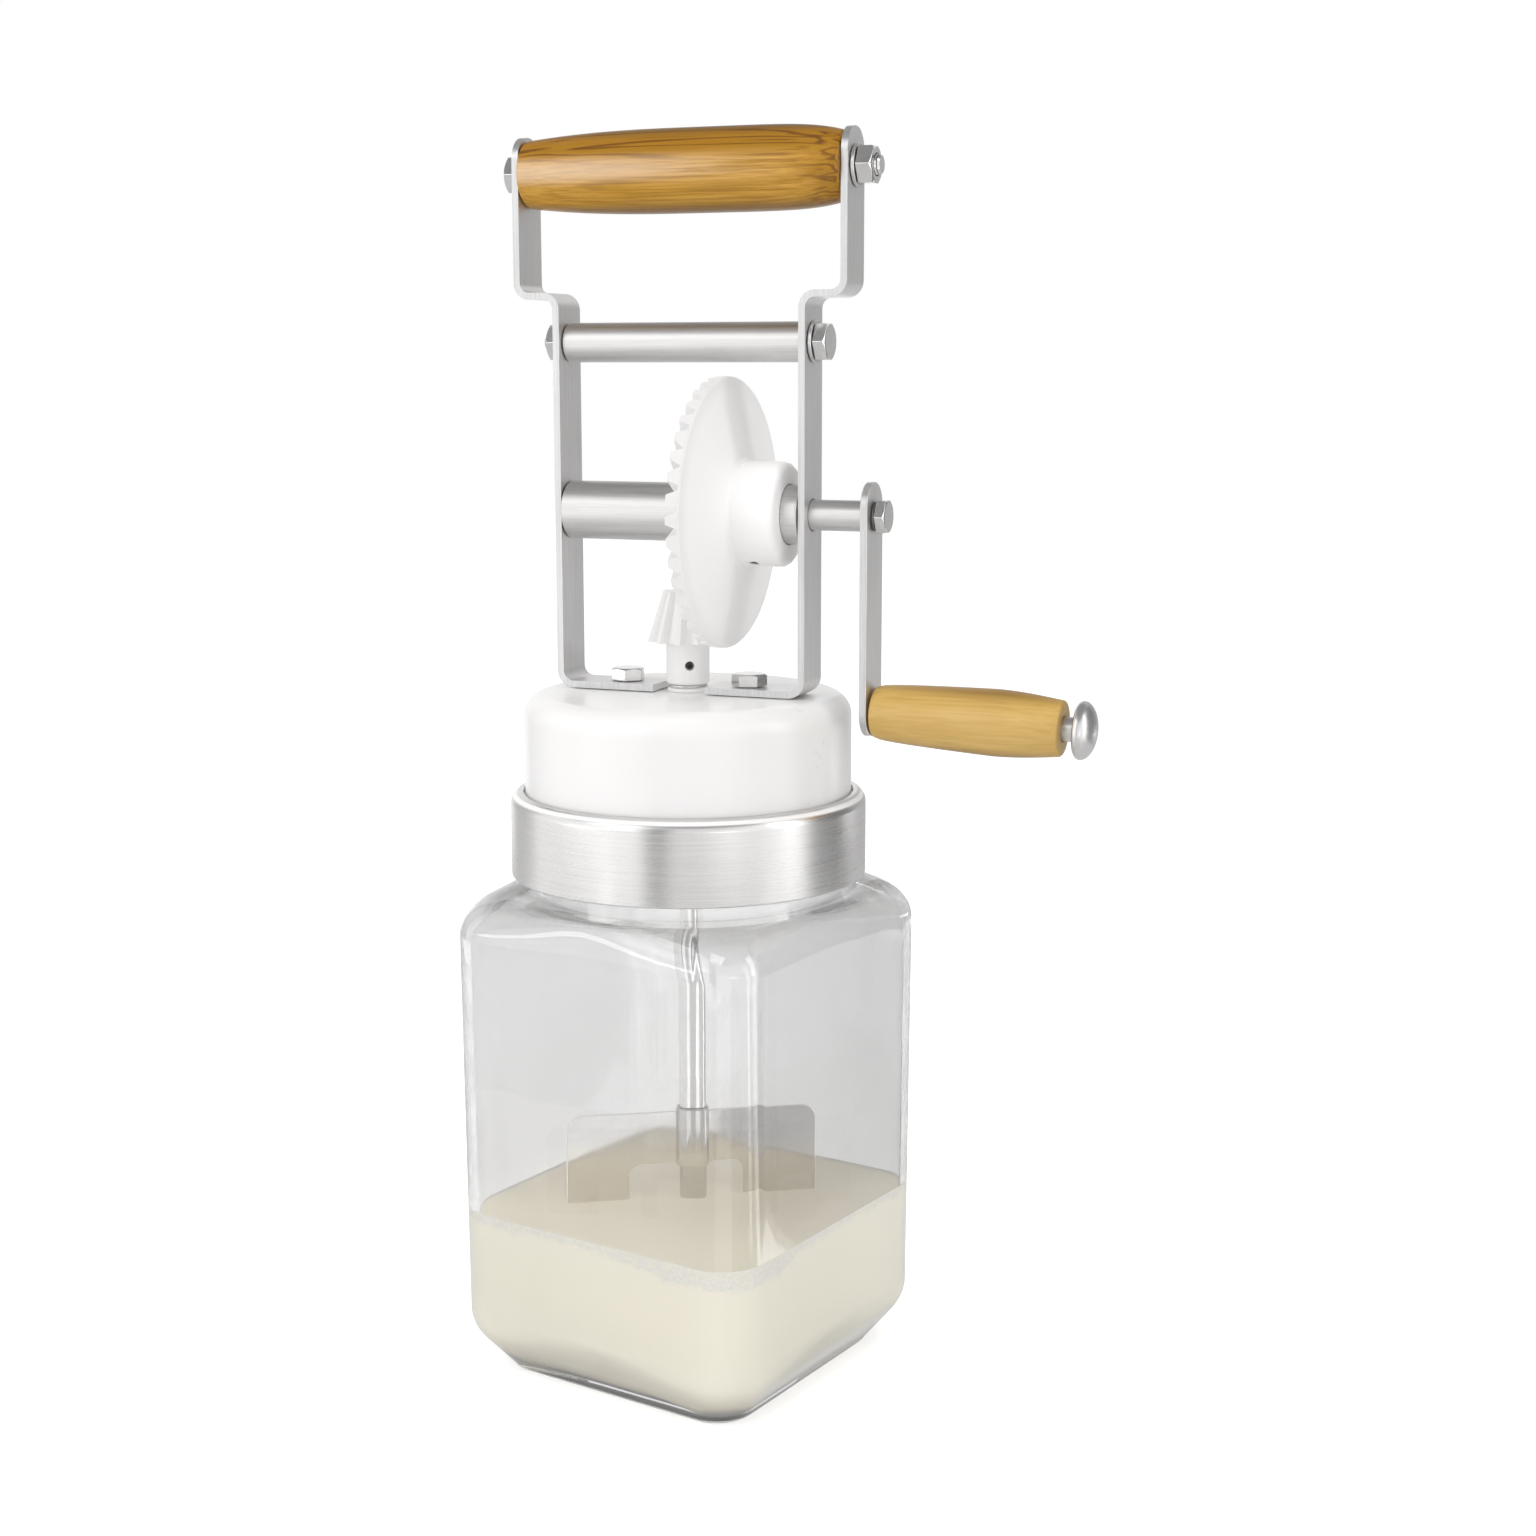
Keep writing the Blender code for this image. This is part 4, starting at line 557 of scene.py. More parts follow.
def turnedWood(name, tones, gloss):
    # Grain drawn out along the turned piece, with wavy dark streaks gathered where the tones say
    wood = Finish(name, {"IOR": 1.3, "Coat Roughness": 0.22, "Coat Weight": gloss})
    sway = wood.noise(wood.stretched(tones["sway"]), 1.0, 2.0, 0.45)
    ripple = wood.noise(wood.stretched((12.0, 700.0, 700.0)), 1.0, 2.0)
    wave = wood.maths("SINE", sway * tones["rings"] + ripple * 5.0)
    height, length = wood.millimetres("Z"), wood.millimetres("X")
    upper = wood.between(height, tones["bandFrom"], tones["bandTo"])
    end = wood.between(length, tones["endFrom"], tones["endFrom"] + 20)
    gathered = wood.maths("MAXIMUM", upper, end * 0.9)
    streak = wood.ramp(wave * 0.5 + 0.5, (0.62, 0.0), (0.98, 1.0)) * (gathered * 0.78 + 0.22)
    fibre = wood.noise(wood.stretched((26.0, 1150.0, 1150.0)), 1.0, 4.0, 0.7)
    cloud = wood.noise(wood.stretched((18.0, 150.0, 150.0)), 1.0, 3.0)
    ground = wood.blend(wood.ramp(cloud, (0.36, 0.0), (0.64, 1.0)), tones["light"], tones["mid"])
    # Darker over the upper half and towards one end: partly the grain's figure, partly painted shade on the
    # top
    figureAndShade = wood.blend(gathered * tones["figureAndShade"], ground, tones["deep"])
    fibres = wood.ramp(fibre, (0.42, 0.0), (0.66, 1.0)) * tones["fibre"]
    colour = wood.blend(fibres, figureAndShade, tones["deep"])
    colour = wood.blend(streak * tones["streakShare"], colour, tones["streak"])
    if "paintedHighlight" in tones:     # painted highlight: a pale band along the middle of its height, less of it towards the crank's side
        off = wood.maths("ABSOLUTE", height - tones["axis"])
        highlightBand = wood.between(off, 5.5, 0.5) * wood.between(length + fibre * 60, 70.0, 0.0)
        colour = wood.blend(highlightBand * tones["paintedHighlightShare"], colour, tones["paintedHighlight"])
    # Painted shade: darker towards the top and bottom of its height, where the light falls away
    off = wood.maths("ABSOLUTE", height + length * tones["droop"] - tones["axis"])
    rim = wood.between(off, tones["rimFrom"], tones["rimTo"])
    wood.feed("Base Color", wood.blend(rim * 0.75, colour, tones["rim"]))
    wood.feed("Roughness", fibre * 0.14 + 0.34)
    wood.bump(fibre, 0.10, 0.05)
    return wood.material


handleTones = {"light": screenColour(208, 158, 66), "mid": screenColour(190, 140, 34),
               "deep": screenColour(152, 104, 2), "streak": screenColour(104, 60, 0), "streakShare": 0.85,
               "rim": screenColour(88, 58, 4), "rimFrom": 8.6, "rimTo": 13.2, "axis": 390.5, "droop": 0.0,
               "sway": (4.0, 150.0, 150.0), "rings": 60.0, "bandFrom": 391.0, "bandTo": 397.0,
               "endFrom": 36.0, "fibre": 0.75, "figureAndShade": 0.85, "paintedHighlight": screenColour(238, 213, 190),
               "paintedHighlightShare": 0.46}
gripTones = {"light": screenColour(212, 177, 108), "mid": screenColour(202, 165, 90),
             "deep": screenColour(176, 139, 66), "streak": screenColour(150, 104, 44), "streakShare": 0.35,
             "rim": screenColour(128, 92, 30), "rimFrom": 6.8, "rimTo": 10.4, "axis": 224.8, "droop": 0.035,
             "sway": (9.0, 130.0, 130.0), "rings": 30.0, "bandFrom": 224.0, "bandTo": 240.0,
             "endFrom": 200.0, "fibre": 0.34, "figureAndShade": 0.45}
handleWood = turnedWood("handleWood", handleTones, 0.22)
gripWood = turnedWood("gripWood", gripTones, 0.2)
print("materials made")

# Heights and reaches that several pieces share, in millimetres
jarMouth = 188.5
bandSheet = 1.2
gasketThickness = 1.5
strapThickness = 2.2
gearRadius = 43.0
rise = {"flange": 2.1, "lid": 31.9, "gear": 14.9, "spacerGap": 4.3, "spacer": 6.3, "step": 14.6,
        "handle": 38.3, "strapTop": 11.7, "crank": 61.3, "armGap": 4.2}
gasketBottom = jarMouth + fit
gasketTop = gasketBottom + gasketThickness
flangeBottom = gasketTop + fit
flangeTop = flangeBottom + rise["flange"]
bandTop = flangeTop + fit + bandSheet
lidTop = bandTop + rise["lid"]
footBottom = lidTop + fit
footTop = footBottom + strapThickness
lowerReach = 43.0
upperReach = 56.6
lowerInside = lowerReach - strapThickness
upperInside = upperReach - strapThickness
axleHeight = lidTop + rise["gear"] + gearRadius
spacerHeight = axleHeight + gearRadius + rise["spacerGap"] + rise["spacer"]
stepHeight = spacerHeight + rise["step"]
handleHeight = stepHeight + rise["handle"]
strapTop = handleHeight + rise["strapTop"]
journalReach = upperReach + rise["armGap"]
armInner = journalReach + fit
pinHeight = axleHeight - rise["crank"]


def atHeight(height, x=0.0, y=0.0):
    return Vector((x * mm, y * mm, height * mm))


jar = {"half": 58.1, "draft": 0.7, "corner": 16.0, "footHalf": 46.6, "footCorner": 12.5, "footRound": 1.0,
       "heel": 15.2, "heelRound": 5.5, "heelSteps": 10, "shoulderStart": 148.0, "shoulderTop": 162.5,
       "shoulderSteps": 18, "neck": 54.0, "wall": 3.5, "floor": 4.5, "floorSteps": 5, "floorInset": 14,
       "neckFillet": 1.2, "rimRound": 1.2, "rimSteps": 5, "turn": -12.3, "sideSteps": 10,
       "cornerSteps": 14, "sideLift": 8.5, "cornerDrop": 1.8}
sole = ((0.86, 0.9), (0.90, 0.35), (0.94, 0.0))     # share of the foot's width, height
wallLow = jar["half"] - jar["draft"]
innerLow = wallLow - jar["wall"]
innerFoot = jar["footHalf"] - jar["wall"] / 2
innerCorner = jar["corner"] - jar["wall"]
footInnerCorner = jar["footCorner"] - jar["wall"] / 2


def roundedSquare(half, corner):
    points = []
    straight = half - corner
    for k in range(4):
        side = [(half, straight * (2 * i / jar["sideSteps"] - 1)) for i in range(jar["sideSteps"])]
        side += [(straight + corner * cos(angle), straight + corner * sin(angle))
                 for angle in quarter(jar["cornerSteps"])[:-1]]
        turn = Matrix.Rotation(k * pi / 2, 2)
        points += [turn @ Vector(point) for point in side]
    return points


def towardsCircle(outline, radius, share=1.0):
    return [point.normalized() * (point.length + (radius - point.length) * share) for point in outline]


def sideLift(outline, share):
    # How far the floor stands up along the middle of each side; the corners stay low
    lengths = [point.length for point in outline]
    shortest, longest = min(lengths), max(lengths)
    corners = [(length - shortest) / (longest - shortest) for length in lengths]
    return [(jar["sideLift"] * (1 - corner) ** 1.3 - jar["cornerDrop"] * corner) * share
            for corner in corners]


def jarRing(outline, height, share=0.0):
    # One ring of the jar, turned as the jar stands; the share of the floor's lift is added
    turn = Matrix.Rotation(radians(jar["turn"]), 2)
    lifts = sideLift(outline, share) if share else [0] * len(outline)
    return [atHeight(height + lift, *(turn @ point)) for point, lift in zip(outline, lifts)]


def heelCurve(footHalf, footHeight, wallHalf, heelHeight):
    # (half side, height) up the sloping heel and round into the wall
    slope = Vector((wallHalf - footHalf, heelHeight - footHeight))
    knee = Vector((wallHalf, heelHeight))
    start = knee - slope.normalized() * jar["heelRound"]
    end = Vector((wallHalf, heelHeight + jar["heelRound"]))
    return [tuple(start * (1 - t) ** 2 + knee * (2 * t * (1 - t)) + end * t * t)
            for t in [i / jar["heelSteps"] for i in range(jar["heelSteps"] + 1)]]


def innerRings(grown=0.0):
    # The jar's inside, from the middle of the floor up to the straight wall
    rings = []
    for i in range(jar["floorSteps"], 0, -1):
        share = i / jar["floorSteps"]
        inset = jar["floorInset"] * i / jar["floorSteps"]
        outline = roundedSquare(innerFoot - inset + grown, footInnerCorner - inset * 0.6 + grown)
        rings.append(jarRing(outline, jar["floor"] - grown, (1 - share) ** 2))
    for half, height in heelCurve(innerFoot, jar["floor"], innerLow, jar["heel"] + jar["wall"] / 2):
        share = (half - innerFoot) / (innerLow - innerFoot)
        corner = footInnerCorner + (innerCorner - footInnerCorner) * share
        lift = 1 - min(1, (height - jar["floor"]) / (jar["heel"] + jar["heelRound"] - jar["floor"]))
        outline = roundedSquare(half + grown, corner + grown)
        rings.append(jarRing(outline, height - grown * lift, lift))
    return rings


def shoulderRings(outline, radius, start, top):
    # From the square wall round into the neck
    return [jarRing(towardsCircle(outline, radius, 1 - cos(angle)), start + (top - start) * sin(angle))
            for angle in quarter(jar["shoulderSteps"])]


def makeJar():
    foot = roundedSquare(jar["footHalf"] - jar["footRound"], jar["footCorner"] - jar["footRound"])
    rings = [jarRing([point * share for point in foot], height) for share, height in sole]
    for angle in quarter(4):
        inset = jar["footRound"] * (1 - sin(angle))
        outline = roundedSquare(jar["footHalf"] - inset, jar["footCorner"] - inset)
        rings.append(jarRing(outline, jar["footRound"] * (1 - cos(angle))))
    for half, height in heelCurve(jar["footHalf"], jar["footRound"], wallLow, jar["heel"]):
        share = (half - jar["footHalf"]) / (wallLow - jar["footHalf"])
        corner = jar["footCorner"] + (jar["corner"] - jar["footCorner"]) * share
        rings.append(jarRing(roundedSquare(half, corner), height))
    body = roundedSquare(jar["half"], jar["corner"])
    root = jar["neck"] + jar["neckFillet"]
    rings += shoulderRings(body, root, jar["shoulderStart"], jar["shoulderTop"])
    rings.append(jarRing(towardsCircle(body, jar["neck"]), jar["shoulderTop"] + jar["neckFillet"]))
    bore = jar["neck"] - jar["wall"]
    for radius, start in ((jar["neck"] - jar["rimRound"], 0), (bore + jar["rimRound"], 90)):
        for i in range(jar["rimSteps"] + 1):
            angle = radians(start + 90 * i / jar["rimSteps"])
            outline = towardsCircle(body, radius + jar["rimRound"] * cos(angle))
            rings.append(jarRing(outline, jarMouth - jar["rimRound"] + jar["rimRound"] * sin(angle)))
    inner = roundedSquare(jar["half"] - jar["wall"], innerCorner)
    innerTop = jar["shoulderTop"] - jar["wall"]
    rings += shoulderRings(inner, bore, jar["shoulderStart"] - jar["wall"] / 2, innerTop)[::-1]
    return ringedPiece("jar_glass", rings + innerRings()[::-1])


thread = {"start": 173.0, "height": 2.3, "half": 1.6, "lead": 7.0, "turns": 1.15, "sunk": 0.8, "bend": 0.5}


def makeThread():
    # A ridge wound round the neck by a Screw modifier, closed at both ends
    root = jar["neck"] - thread["sunk"]
    crest = jar["neck"] + thread["height"]
    half = thread["half"]
    outline = roundCorners([(root, -half, 0), (crest, -half / 2, thread["bend"]),
                            (crest, half / 2, thread["bend"]), (root, half, 0)])
    points = [atHeight(thread["start"] + h, r) for r, h in outline]
    ridge = drawLine("thread", points + [points[0].copy()])
    bpy.ops.mesh.remove_doubles(threshold=doubleGap * mm)
    objectMode()
    steps = int(96 * thread["turns"])
    applyModifier(ridge, "SCREW", {
        "angle": 2 * pi * thread["turns"], "screw_offset": thread["lead"] * thread["turns"] * mm,
        "steps": steps, "render_steps": steps, "axis": "Z", "use_merge_vertices": False})
    editAll(ridge)
    bpy.ops.mesh.select_all(action="DESELECT")
    bpy.ops.mesh.select_non_manifold()
    bpy.ops.mesh.edge_face_add()
    leaveEdit(merged=False)
    return ridge


jarGlass = makeJar()
carve(jarGlass, makeThread(), "UNION")
jarGlass.visible_shadow = False     # the lamps reach the cream through the clear wall
finishPiece(jarGlass, "jar", jarGlassFinish, "clear_glass", "glass_jar", smooth=50, even=False)
print("jar made")


def makeCream():
    # It fills the jar's inside a little way into the glass and stands up at the wall
    into = cream["intoGlass"]
    rings = innerRings(into)
    share = (jar["shoulderStart"] - cream["level"]) / (jar["shoulderStart"] - jar["heel"])
    half = jar["half"] - jar["draft"] * share - jar["wall"] + into
    corner = innerCorner + into
    for step in [i / 4 for i in range(5)]:
        inset = cream["meniscusReach"] * step ** 1.6
        fall = cream["meniscus"] * (1 - (1 - step) ** 2)
        height = cream["level"] + cream["meniscus"] - fall
        rings.append(jarRing(roundedSquare(half - inset, corner - inset), height))
    return ringedPiece("cream_fill", rings)


finishPiece(makeCream(), "jar", freshCream, None, smooth=50, even=False)
print("cream made")

ringTones = {"dark": grey(0.67), "light": grey(0.77)}
# Painted light: the band's inside is pale and matt so that it doesn't show dark through the neck
ringInsidePaintedLight = {"radius": 57.3, "top": bandTop - 0.6, "tone": grey(0.86)}
ringSteel = brushedSteel("ringSteel", ringTones, (24.0, 24.0, 2600.0), 0.28, 0.02, inside=ringInsidePaintedLight)
band = {"radius": 58.0, "bottom": 166.8, "bend": 4.0, "hole": 53.8}
lid = {"radius": 53.2, "flange": 54.6, "wall": 3.2, "top": 3.6, "edge": 7.4, "inner": 4.0,
       "bossWall": 3.2, "bossDepth": 18.0}
bush = {"bore": 3.475, "radius": 5.075, "flange": 6.575, "flangeThickness": 1.0, "tail": 1.2}
strap = {"width": 16.0, "footEnd": 9.0, "footBend": 4.6, "stepBend": 4.2, "topBend": 7.6, "bolt": 3.5,
         "footBolt": 3.2, "footReach": 21.4, "journal": 5.15, "edge": 0.35}


def makeBand():
    inside = band["radius"] - bandSheet
    return roundedPiece("band_ring", [
        (band["bottom"], inside, 0.35), (band["bottom"], band["radius"], 0.5),
        (bandTop, band["radius"], band["bend"]), (bandTop, band["hole"], 0.4),
        (bandTop - bandSheet, band["hole"], 0.3),
        (bandTop - bandSheet, inside, band["bend"] - bandSheet)], 8, 144)


def makeLid():
    bore = bush["radius"] + fit
    boss = bore + lid["bossWall"]
    inside = lid["radius"] - lid["wall"]
    under = lidTop - lid["top"]
    bossEnd = lidTop - lid["bossDepth"]
    made = roundedPiece("lid_cap", [
        (flangeBottom, inside, 0.4), (flangeBottom, lid["flange"], 0.4), (flangeTop, lid["flange"], 0.4),
        (flangeTop, lid["radius"], 0), (lidTop, lid["radius"], lid["edge"]), (lidTop, bore, 0.3),
        (bossEnd, bore, 0.3), (bossEnd, boss, 0.6), (under, boss, 0.8), (under, inside, lid["inner"])],
        12, 144)
    for side in (-1, 1):
        hole = atHeight(under - 2, side * strap["footReach"])
        carve(made, rod(strap["footBolt"], hole, upward, lid["top"] + 4))
    mergeSlivers(made)
    return made


def makeBush():
    bottom = lidTop - lid["bossDepth"] - bush["tail"]
    seat = lidTop + fit
    top = seat + bush["flangeThickness"]
    return roundedPiece("bush_flanged", [
        (bottom, bush["bore"], 0.2), (bottom, bush["radius"], 0.4), (seat, bush["radius"], 0),
        (seat, bush["flange"], 0.2), (top, bush["flange"], 0.3), (top, bush["bore"], 0.3)], 3, 64)


def makeGasket():
    inside = jar["neck"] - jar["wall"] + 0.4
    outside = jar["neck"] + 0.4
    return roundedPiece("gasket_ring", [
        (gasketBottom, inside, 0.4), (gasketBottom, outside, 0.5), (gasketTop, outside, 0.5),
        (gasketTop, inside, 0.4)], 4, 96)


finishPiece(makeBand(), "band", ringSteel, "brushed_steel", "screw_band")
finishPiece(makeLid(), "head", lidPlastic, "white_plastic", "lid")
finishPiece(makeBush(), "head", gearNylon, "white_plastic", "shaft_bush")
finishPiece(makeGasket(), "head", sealRubber, "seal_rubber", "lid_gasket")
print("lid and band made")


def makeStrap(name, side):
    lower = lowerReach - strapThickness / 2
    upper = upperReach - strapThickness / 2
    foot = footBottom + strapThickness / 2
    path = roundCorners([
        (strap["footEnd"], foot, 0), (lower, foot, strap["footBend"]), (lower, stepHeight, strap["stepBend"]),
        (upper, stepHeight, strap["stepBend"]), (upper, strapTop, 0)], closed=False, steps=12)
    piece = drawLine(name, [atHeight(z, side * x, -strap["width"] / 2) for x, z in path])
    bpy.ops.mesh.extrude_region_move(TRANSFORM_OT_translate={"value": (0.0, strap["width"] * mm, 0.0)})
    bpy.ops.mesh.select_all(action="DESELECT")
    bpy.ops.mesh.select_mode(type="VERT")
    shape = bmesh.from_edit_mesh(piece.data)
    for vertex in shape.verts:
        vertex.select = vertex.co.z > (strapTop - 0.01) * mm
    shape.select_flush_mode()
    bmesh.update_edit_mesh(piece.data)
    bpy.ops.mesh.bevel(offset=strap["topBend"] * mm, segments=20, affect="VERTICES")
    selectAll()
    objectMode()
    applyModifier(piece, "SOLIDIFY", {
        "thickness": strapThickness * mm, "offset": 0.0, "use_even_offset": True})
    editAll(piece)
    leaveEdit(merged=False)
    for reach, height, hole in ((upper, handleHeight, "bolt"), (lower, spacerHeight, "bolt"),
                                (lower, axleHeight, "journal")):
        carve(piece, rod(strap[hole], atHeight(height, side * reach - 4), toCrank, 8))
    carve(piece, rod(strap["footBolt"], atHeight(footBottom - 2, side * strap["footReach"]), upward, 8))
    softenEdges(piece, strap["edge"], 40, 3)
    return piece


for label, side in (("left", -1), ("right", 1)):
    piece = makeStrap("strap_" + label, side)
    finishPiece(piece, "head", strapSteel, "brushed_steel", "frame_strap_" + label)
print("straps made")

hexShape = {"crown": 0.93, "slope": 30.0, "edge": 0.14, "threadPitch": 1.0, "threadDepth": 0.32,
            "threadLength": 5.0, "tipChamfer": 0.6}


def turned(turn):
    # The direction that an upright piece points in after the turn
    return (Euler(turn).to_matrix() @ upward).normalized()


def hexBody(name, place, turn, flats, height):
    # A six-sided body cut back by a cone on its free side, as a turned chamfer leaves it
    along = turned(turn)
    startAlone()
    bpy.ops.mesh.primitive_cylinder_add(
        vertices=6, radius=flats / 2 / cos(pi / 6) * mm, depth=height * mm,
        location=place + along * (height / 2 * mm), rotation=turn)
    body = bpy.context.object
    body.name = name
    settle(body)
    crown = flats / 2 * hexShape["crown"]
    wide = flats * 0.7
    fall = (wide - crown) * tan(radians(hexShape["slope"]))
    outline = [(-1, 0), (-1, wide), (height - fall, wide), (height, crown), (height, 0)]
    carve(body, turnedPiece("crown", outline, place, along, False, 72), "INTERSECT")
    mergeSlivers(body)
    return body


def threadedRod(name, radius, place, along, start, end):
    # The last stretch is cut with fine ridges, the tip is chamfered
    pitch, chamfer = hexShape["threadPitch"], hexShape["tipChamfer"]
    ridges = int(min(hexShape["threadLength"], end - start - 2) / pitch)
    outline = [(start, 0), (start, radius)]
    first = end - chamfer - ridges * pitch
    for i in range(ridges):
        outline.append((first + i * pitch, radius))
        outline.append((first + (i + 0.5) * pitch, radius - hexShape["threadDepth"]))
    outline += [(end - chamfer, radius), (end, radius - chamfer), (end, 0)]
    return turnedPiece(name, outline, place, along, False, 48)


quarterInch = {"bolt": 3.2, "flats": 11.1, "head": 4.0}
smaller = {"bolt": 2.9, "flats": 10.0, "head": 4.0}
crankSize = {"bolt": 2.9, "flats": 10.0, "head": 3.2, "length": 12.0}
washer = {"radius": 6.6, "thickness": 1.1}
crankWasher = {"radius": 4.7, "thickness": 0.8}
hardware = {"tip": 1.6, "nut": 5.0, "thinNut": 3.6, "footNut": 4.6, "leftTurn": 15.0, "rightTurn": -13.0}
boltHole = quarterInch["bolt"] + fit
footHole = smaller["bolt"] + fit


def addBolt(name, node, place, turn, kind, length, body="head"):
    along = turned(turn)
    bolt = hexBody(name, place, turn, kind["flats"], kind["head"])
    softenEdges(bolt, hexShape["edge"], 25)
    shank = threadedRod("shank", kind["bolt"], place, -along, -kind["head"] / 2, length)
    carve(bolt, shank, "UNION")
    mergeSlivers(bolt)
    finishPiece(bolt, body, boltSteel, "polished_steel", node)


def addNut(name, node, place, turn, kind, height):
    along = turned(turn)
    nut = hexBody(name, place, turn, kind["flats"], height)
    carve(nut, rod(kind["bolt"] + fit, place - along * mm, along, height + 2, 40))
    mergeSlivers(nut)
    softenEdges(nut, hexShape["edge"], 25)
    finishPiece(nut, "head", boltSteel, "polished_steel", node)


def addWasher(name, node, place, along, bore, kind=washer, body="head", material=washerSteel):
    radius, thickness = kind["radius"], kind["thickness"]
    corners = [(0, bore, 0.15), (0, radius, 0.25), (thickness, radius, 0.3), (thickness, bore, 0.15)]
    ring = roundedPiece(name, corners, 3, 64, place, along)
    finishPiece(ring, body, material, "brushed_steel", node)


for label, side in (("left", -1), ("right", 1)):
    reach = side * strap["footReach"]
    turn = (0.0, 0.0, radians(hardware[label + "Turn"]))
    washerTop = lidTop - lid["top"] - fit
    nutTop = washerTop - washer["thickness"] - fit
    headBottom = footTop + fit
    length = headBottom - nutTop + hardware["footNut"] + hardware["tip"]
    addBolt("foot_screw_" + label, "foot_bolt_" + label, atHeight(headBottom, reach), turn, smaller, length)
    addWasher("foot_ring_" + label, "foot_washer_" + label, atHeight(washerTop, reach), downward, footHole)
    addNut("foot_hexnut_" + label, "foot_nut_" + label, atHeight(nutTop, reach), upsideDown, smaller,
           hardware["footNut"])

washerStart = lowerReach + fit
headStart = washerStart + washer["thickness"] + fit
length = headStart + washerStart + hardware["thinNut"] + hardware["tip"]
addWasher("spacer_ring", "spacer_washer", atHeight(spacerHeight, washerStart), toCrank, boltHole)
addBolt("spacer_screw", "spacer_bolt", atHeight(spacerHeight, headStart), facingCrank, quarterInch, length)
addNut("spacer_hexnut", "spacer_nut", atHeight(spacerHeight, -washerStart), facingAway, quarterInch,
       hardware["thinNut"])

outside = upperReach + fit
nutStart = outside + washer["thickness"] + fit
length = outside + nutStart + hardware["nut"] + hardware["tip"]
addBolt("handle_screw", "handle_bolt", atHeight(handleHeight, -outside), facingAway, quarterInch, length)
addWasher("handle_ring", "handle_washer", atHeight(handleHeight, outside), toCrank, boltHole)
addNut("handle_hexnut", "handle_nut", atHeight(handleHeight, nutStart), facingCrank, quarterInch,
       hardware["nut"])

arm = {"width": 15.8, "thickness": 2.4, "topExtra": 2.8, "boltHole": 3.2, "pinHole": 3.1, "edge": 0.35}
washerStart = armInner + arm["thickness"] + fit
headStart = washerStart + crankWasher["thickness"] + fit
length = headStart - journalReach + crankSize["length"]
# Painted shade: the crank washer is dark steel, standing for the shadow in the gap under the bolt head
addWasher("crank_ring", "crank_washer", atHeight(axleHeight, washerStart), toCrank,
          crankSize["bolt"] + fit, crankWasher, "crank", darkSteel)
addBolt("crank_screw", "crank_bolt", atHeight(axleHeight, headStart), facingCrank, crankSize, length, "crank")
print("bolts made")

spacer = {"radius": 6.3, "edge": 0.5}
axle = {"radius": 9.4, "edge": 0.5, "journal": 4.85, "boltHole": 3.2, "holeDepth": 15.0}
handle = {"radius": 13.1, "end": 10.7, "edge": 1.3, "leftPower": 2.5, "rightPower": 6.0, "steps": 22}


def makeSpacer():
    half = lowerInside - fit
    radius, edge = spacer["radius"], spacer["edge"]
    corners = [(-half, boltHole, 0.2), (-half, radius, edge), (half, radius, edge), (half, boltHole, 0.2)]
    return roundedPiece("spacer_sleeve", corners, 4, 96, atHeight(spacerHeight), toCrank)


def makeAxle():
    shoulder = lowerInside - fit
    radius, edge, journal, hole = axle["radius"], axle["edge"], axle["journal"], axle["boltHole"]
    holeEnd = journalReach - axle["holeDepth"]
    return roundedPiece("axle_rod", [
        (-lowerReach, 0, 0), (-lowerReach, journal, 0.4), (-shoulder, journal, 0), (-shoulder, radius, edge),
        (shoulder, radius, edge), (shoulder, journal, 0), (journalReach, journal, 0.3),
        (journalReach, hole, 0.2), (holeEnd, hole, 0), (holeEnd, 0, 0)],
        4, 96, atHeight(axleHeight), toCrank, False)


def handleHalf(power):
    # (distance from the middle, radius), drawn in towards the end and rounded over its edge
    reach = upperInside - fit - handle["edge"]
    half = []
    for angle in quarter(handle["steps"])[:-1]:
        share = sin(angle)
        half.append((reach * share, handle["radius"] - (handle["radius"] - handle["end"]) * share ** power))
    for angle in quarter(6):
        half.append((reach + handle["edge"] * sin(angle), handle["end"] - handle["edge"] * (1 - cos(angle))))
    return half


def makeHandle():
    end = upperInside - fit
    left = [(-a, r) for a, r in handleHalf(handle["leftPower"])]
    outline = [(-end, boltHole)] + left[:0:-1] + handleHalf(handle["rightPower"]) + [(end, boltHole)]
    return turnedPiece("handle_barrel", outline, atHeight(handleHeight), toCrank)


finishPiece(makeSpacer(), "head", tubeSteel, "brushed_steel", "spacer_tube")
finishPiece(makeAxle(), "crank", tubeSteel, "brushed_steel", "crank_axle")
finishPiece(makeHandle(), "head", handleWood, "handle_wood", "handle_grip")
print("handle and tubes made")

grip = {"start": 3.4, "length": 60.8, "near": 8.2, "wide": 10.5, "far": 8.8, "widePlace": 0.64,
        "nearPower": 0.5, "edge": 1.0, "bore": 4.15, "droop": 2.0, "steps": 40}
pin = {"radius": 3.85, "tenon": 2.8, "free": 4.0, "head": 9.1, "headHeight": 6.4, "headEdge": 1.8,
       "lip": 1.4, "lipDepth": 1.65}
pinPlace = atHeight(pinHeight, armInner)
pinAlong = Vector((cos(radians(grip["droop"])), 0.0, -sin(radians(grip["droop"]))))


